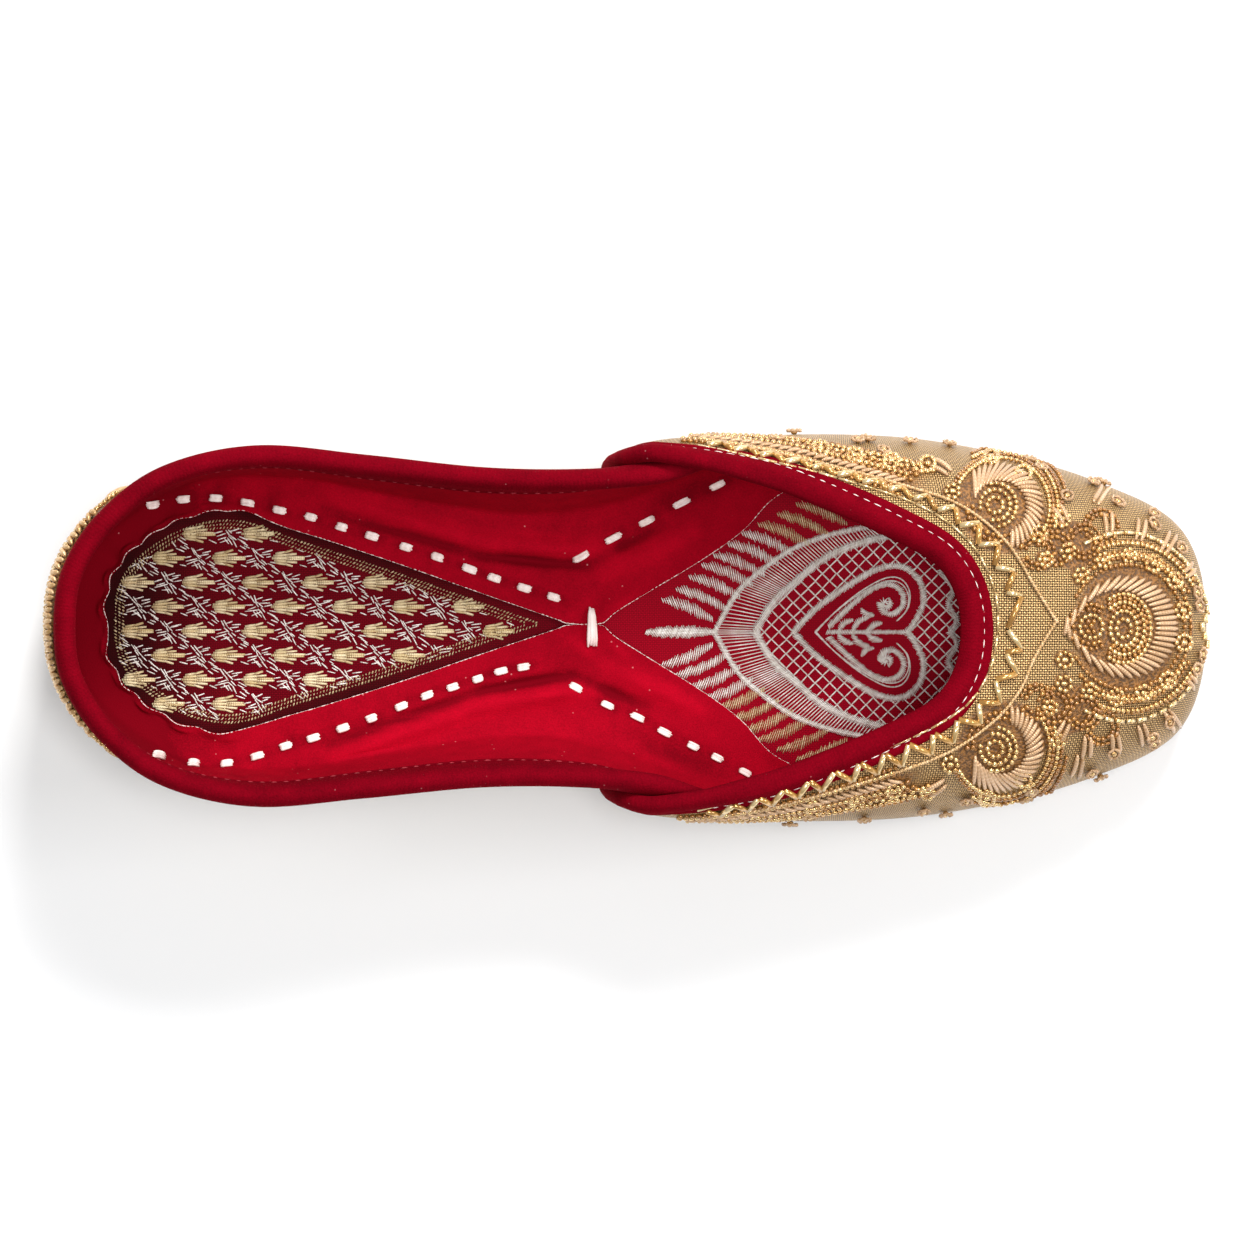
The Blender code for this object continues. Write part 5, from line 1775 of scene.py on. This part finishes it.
# Lace of the fore sock. Left half, in millimetres from its axis, as the camera sees it
LACE_AXIS = -1.1
BAND_OUTER = [(19.2, 0.0), (24.2, 8.6), (29.6, 13.6), (36.6, 18.4), (44.6, 21.4), (53.0, 23.2)]
BAND_INNER = [(28.2, 0.0), (32.2, 6.6), (36.6, 10.6), (42.8, 15.8), (50.6, 19.4), (60.0, 21.6), (66.0, 22.0)]
HEART = [(36.6, 0.0), (41.4, 5.0), (48.0, 9.8), (55.0, 13.8), (60.6, 14.4), (64.4, 11.2), (65.2, 6.6),
         (63.4, 2.4),
         (61.6, 0.0)]
HEART_LINE = [(41.6, 0.0), (46.2, 4.8), (51.8, 9.2), (57.0, 11.9), (60.4, 11.6), (62.2, 8.8), (61.8, 5.2),
              (59.6, 2.6)]
SCROLL = [(44.4, 1.2), (48.6, 5.2), (53.2, 9.0), (57.2, 10.6), (60.2, 9.2), (60.8, 6.2), (58.6, 4.0),
          (56.2, 4.6),
          (55.6, 6.4)]
STEM = [(44.0, 0.0), (50.0, 0.0), (56.4, 0.0), (61.0, 0.0)]
STEM_LEAVES = [
    [(46.6, 0.4), (47.6, 1.9), (49.6, 2.6)], [(49.6, 0.4), (51.0, 2.4), (53.2, 3.2)],
    [(52.8, 0.4), (54.4, 1.6), (56.0, 1.9)], [(51.6, 5.2), (52.6, 3.9), (54.2, 3.6)],
]
WAVE = [(69.0, 13.6), (71.8, 9.4), (70.6, 6.2), (72.6, 2.6), (71.0, 0.0)]
SPIKE = [(4.2, 0.0), (12.0, 0.0), (19.4, 0.0)]
FEATHER_TIPS = [
    (7.8, 7.0), (10.9, 9.3), (13.8, 12.0), (16.6, 14.6), (19.2, 16.8), (22.3, 19.3), (25.4, 21.6),
    (29.0, 23.6),
    (33.2, 25.8), (37.4, 28.0), (41.6, 29.6), (45.8, 31.0),
]
FEATHER_WAY = (10.9, -4.1)    # from a feather's tip to its root


def mirrored_line(ground, points, sign, per_leg=8):
    curve = flowing(points, per_leg)
    return [ground.seen(x, LACE_AXIS + sign * y) for x, y in curve]


def leaf(ground, chart, points, sign, widest, per_leg=8):
    """A satin leaf: stitches across a line, longest at its middle."""
    places = mirrored_line(ground, points, sign, per_leg)
    count = len(places) - 1
    widths = [widest * MM * (0.22 + 0.78 * math.sin(math.pi * min(0.08 + 0.84 * k / count, 1.0)))
              for k in range(count + 1)]
    chart.path(places, widths)


def rope(ground, chart, points, sign, wide):
    places = mirrored_line(ground, points, sign)
    chart.path(places, [wide * MM] * len(places))


def at_share(curve, share):
    place = share * (len(curve) - 1)
    first = min(int(place), len(curve) - 2)
    return curve[first].lerp(curve[first + 1], place - first)


def inside(polygon, x, y):
    """Whether a point lies in a closed outline."""
    within = False
    for (x1, y1), (x2, y2) in zip(polygon, polygon[1:] + polygon[:1]):
        if (y1 > y) != (y2 > y) and x < x1 + (y - y1) * (x2 - x1) / (y2 - y1):
            within = not within
    return within


LADDER_LEAN = 0.76    # share of the inner line that a stroke reaches from the whole of the outer one


def make_lace(ground):
    """Silver thread lace: a pointed band with feathers, a net, and a heart with scrolls."""
    outer = flowing(BAND_OUTER, 10)
    inner = flowing(BAND_INNER, 10)

    ladder = Chart()
    for sign in (1, -1):
        for share in spread(0.0, 1.0, 58):
            start = at_share(outer, share)
            end = at_share(inner, LADDER_LEAN * share)
            ladder.stitch(ground.seen(start.x, LACE_AXIS + sign * start.y),
                          ground.seen(end.x, LACE_AXIS + sign * end.y))
    laid("lace_ladder", ladder, THREADS, SILVER_THREAD, "fore_satin", Thickness=0.00027, Flatness=0.9,
         Lift=0.00012, Variation=0.12, Seed=51)

    satin_work = Chart()
    for sign in (1, -1):
        rope(ground, satin_work, BAND_OUTER, sign, 1.5)
        rope(ground, satin_work, BAND_INNER, sign, 2.1)
        rope(ground, satin_work, HEART, sign, 1.7)
        rope(ground, satin_work, SCROLL, sign, 1.6)
        rope(ground, satin_work, WAVE, sign, 1.6)
        for points in STEM_LEAVES:
            leaf(ground, satin_work, points, sign, 1.7)
        turns = zip(spread(0.3, 1.3, 9), spread(0, 420, 9))
        leaf(ground, satin_work, [polar((56.9, 6.3), radius, angle) for radius, angle in turns], sign, 1.8)
    rope(ground, satin_work, STEM, 1, 1.2)
    leaf(ground, satin_work, SPIKE, 1, 3.0, 14)
    laid("lace_satin", satin_work, STROKES_ALONG, SILVER_THREAD, "fore_satin", Spacing=0.00036, Length=1.0,
         Thickness=0.00032, Flatness=0.9, Lift=0.00022, Turn=1.15, Variation=0.18, Seed=52)

    for side, sign, silver_count in (("left", 1, 7), ("right", -1, 4)):
        silver = Chart()
        gilt = Chart()
        for number, (x, y) in enumerate(FEATHER_TIPS):
            chart = silver if number < silver_count else gilt
            bend = (x + 0.45 * FEATHER_WAY[0], y + 0.45 * FEATHER_WAY[1] + 0.7)
            root = (x + FEATHER_WAY[0], y + FEATHER_WAY[1])
            leaf(ground, chart, [(x, y), bend, root], sign, 3.1, 10)
        for metal, chart, thread in (("silver", silver, SILVER_THREAD), ("gilt", gilt, GILT_THREAD)):
            laid(f"{metal}_feathers_{side}", chart, STROKES_ALONG, thread, "fore_satin", Spacing=0.00054,
                 Length=1.0, Thickness=0.00031, Flatness=0.9, Lift=0.00016, Turn=-0.95 * sign, Variation=0.25,
                 Seed=53)

    fine = Chart()
    for sign in (1, -1):
        for points in (HEART_LINE, [(x - 0.3, y * 0.93) for x, y in HEART_LINE]):
            line = mirrored_line(ground, points, sign)
            for start, end in zip(line[::2], line[2::2]):
                fine.stitch(start, end)
    net(ground, fine, inner)
    laid("lace_net", fine, THREADS, SILVER_THREAD, "fore_satin", Thickness=0.00036, Flatness=0.8,
         Lift=0.00012, Length=1.06, Variation=0.1, Seed=55)


NET_CELL = 3.2


def net(ground, chart, inner):
    """Net of leaning cells between the band and the heart, and on under the vamp."""
    heart = [(x, y) for x, y in flowing(HEART, 6)] + [(x, -y) for x, y in reversed(flowing(HEART, 6))]
    field = [(x, y) for x, y in inner] + [(82.0, 20.0), (84.0, 0.0)]
    field += [(82.0, -20.0)] + [(x, -y) for x, y in reversed(inner)]
    dice = random.Random(9)
    half = NET_CELL / 2
    for column in range(36):
        for row in range(-10, 11):
            x = 27.0 + column * half
            y = row * NET_CELL + (half if column % 2 else 0.0)
            for sign in (1, -1):
                middle = (x + half / 2, y + sign * half / 2)
                if inside(field, *middle) and not inside(heart, *middle):
                    x2 = x + half + dice.uniform(-0.12, 0.12)
                    y2 = y + sign * half + dice.uniform(-0.12, 0.12)
                    chart.stitch(ground.seen(x, LACE_AXIS + y), ground.seen(x2, LACE_AXIS + y2))


# Running stitches of the lining and the tack at the waist, in millimetres as the camera sees them
HEEL_ROW_LEFT = [
    (-104.4, 27.1), (-97.6, 28.2), (-90.5, 28.4), (-83.5, 27.3), (-76.5, 25.7), (-69.6, 24.2), (-62.8, 22.0),
    (-56.2, 20.0), (-48.7, 17.6), (-41.7, 15.4), (-34.7, 12.8), (-29.2, 10.8), (-22.7, 8.6), (-16.2, 6.6),
]
HEEL_ROW_RIGHT = [
    (-103.1, -28.4), (-95.4, -30.1), (-88.1, -30.1), (-81.3, -28.4), (-75.1, -26.2), (-69.0, -24.4),
    (-62.6, -22.2), (-56.2, -20.0), (-49.6, -17.4), (-44.0, -15.0), (-38.4, -13.2), (-32.9, -11.4),
    (-27.8, -9.7),
    (-22.8, -8.8),
]
FRONT_ROW_LEFT = [(-10.2, 15.6), (-3.0, 19.6), (4.3, 23.3), (12.0, 27.3), (19.9, 31.2)]
FRONT_ROW_RIGHT = [
    (-11.3, -13.4), (-4.3, -17.2), (2.3, -19.8), (8.3, -23.1), (14.6, -26.2), (19.9, -28.8), (26.0, -32.1),
]


Stitch = namedtuple("Stitch", "middle way half wide")


@lru_cache(maxsize=None)
def running_stitches():
    """The stitches of all four rows: middle, direction, half length and width, as the camera sees them."""
    dice = random.Random(3)
    rows = ((HEEL_ROW_LEFT, 3.1, 1.0), (HEEL_ROW_RIGHT, 2.9, 0.95), (FRONT_ROW_LEFT, 3.9, 0.85),
            (FRONT_ROW_RIGHT, 3.1, 0.85))
    stitches = []
    for row, length, wide in rows:
        for number, (x, y) in enumerate(row):
            before = row[max(number - 1, 0)]
            after = row[min(number + 1, len(row) - 1)]
            way = Vector((after[0] - before[0], after[1] - before[1])).normalized()
            stitches.append(Stitch(Vector((x, y)), way, length * dice.uniform(0.44, 0.54), wide))
    return stitches


def make_running_stitches(ground):
    """White thread that holds the turned-in lining, and the tack that draws both flaps together."""
    dice = random.Random(3)
    chart = Chart()
    for stitch in running_stitches():
        side = Vector((-stitch.way.y, stitch.way.x))
        for strand in (-0.60, -0.20, 0.20, 0.60):
            reach = stitch.half * mix(1.0, 0.86, abs(strand))
            middle = stitch.middle + side * strand * stitch.wide + stitch.way * dice.uniform(-0.12, 0.12)
            start = ground.seen(*(middle - stitch.way * reach))
            chart.stitch(start, ground.seen(*(middle + stitch.way * reach)), stitch.wide)
    laid("running_stitches", chart, STITCHES, SEWING_THREAD, "red_velvet", Thickness=0.00074, Flatness=0.95,
         Lift=0.00022, Variation=0.06, Seed=61)

    tack = Chart()
    strands = ((-8.35, -8.70, 1.0), (-8.05, -8.05, 1.25), (-7.75, -7.40, 1.25), (-7.55, -6.85, 0.9))
    for top, foot, wide in strands:
        tack.stitch(ground.seen(top, 4.2), ground.seen(foot, -4.2), wide)
    laid("waist_tack", tack, STITCHES, SEWING_THREAD, "red_velvet", Thickness=0.00098, Flatness=1.0,
         Lift=0.0006, Variation=0.06, Seed=62)


# Stage and camera

def make_stage():
    """Pale floor and soft light from the shoe's left."""
    mesh = bpy.data.meshes.new("floor")
    half = 3.0
    corners = [(-half, -half, 0), (half, -half, 0), (half, half, 0), (-half, half, 0)]
    mesh.from_pydata(corners, [], [(0, 1, 2, 3)])
    floor = add_object("floor", mesh)
    floor.location.z = -0.0002
    paint, tree, shader = new_material("floor_white", Roughness=0.9)
    tree.nodes["Principled BSDF"].inputs["Base Color"].default_value = (0.93, 0.93, 0.93, 1.0)
    mesh.materials.append(paint)

    world = bpy.data.worlds.new("studio")
    world.use_nodes = True
    world.node_tree.nodes["Background"].inputs["Color"].default_value = (0.95, 0.97, 1.0, 1.0)
    world.node_tree.nodes["Background"].inputs["Strength"].default_value = 0.36
    bpy.context.scene.world = world
    soft_light("key", (0.25, 1.10, 1.05), 0.50, 23.0)
    soft_light("above", (0.10, -0.10, 1.60), 0.5, 13.0)
    soft_light("side", (0.90, 0.10, 0.70), 0.3, 4.0)


def soft_light(name, place, size, power):
    data = bpy.data.lights.new(name, "AREA")
    data.shape = "SQUARE"
    data.size = size
    data.energy = power
    lamp = bpy.data.objects.new(name, data)
    bpy.context.scene.collection.objects.link(lamp)
    lamp.location = place
    lamp.rotation_euler = (Vector((0.0, 0.0, 0.02)) - Vector(place)).to_track_quat("-Z", "Y").to_euler()


def make_camera():
    data = bpy.data.cameras.new("camera")
    data.sensor_width = SENSOR
    data.lens = SENSOR * (AIM - CAMERA).length / FRAME_WIDTH
    data.clip_start = 0.01
    camera = bpy.data.objects.new("camera", data)
    bpy.context.scene.collection.objects.link(camera)
    turn = Matrix((ACROSS, UPWARD, -SIGHT)).transposed().to_4x4()
    camera.matrix_world = Matrix.Translation(CAMERA) @ turn
    bpy.context.scene.camera = camera


def dress_node(node, material):
    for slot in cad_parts[node].material_slots:
        slot.material = material


def main():
    make_camera()
    make_stage()
    bpy.context.scene.view_settings.view_transform = "Standard"
    dress_node("outsole", SOLE_LEATHER)
    dress_node("heel", HEEL_LEATHER)
    dress_node("insole", BOARD)
    make_quarters()
    lining_ground = make_lining()
    make_raw_edges(lining_ground)
    make_collar_binding(lining_ground)
    vamp_ground = make_vamp()
    make_throat_binding(vamp_ground)
    make_beadwork(vamp_ground)
    make_heel_patch()
    join = SOCK_JOIN * LAST_LENGTH
    heel_ground = make_sock("brocade_sock", "heel_sock", "heel_brocade", BROCADE, 0.0, join - GAP / 2,
                            heel_shade)
    fore_ground = make_sock("satin_sock", "fore_sock", "fore_satin", RED_SATIN, join + GAP / 2, LAST_LENGTH,
                            fore_shade)
    make_brocade(heel_ground)
    make_lace(fore_ground)
    make_running_stitches(lining_ground)


main()
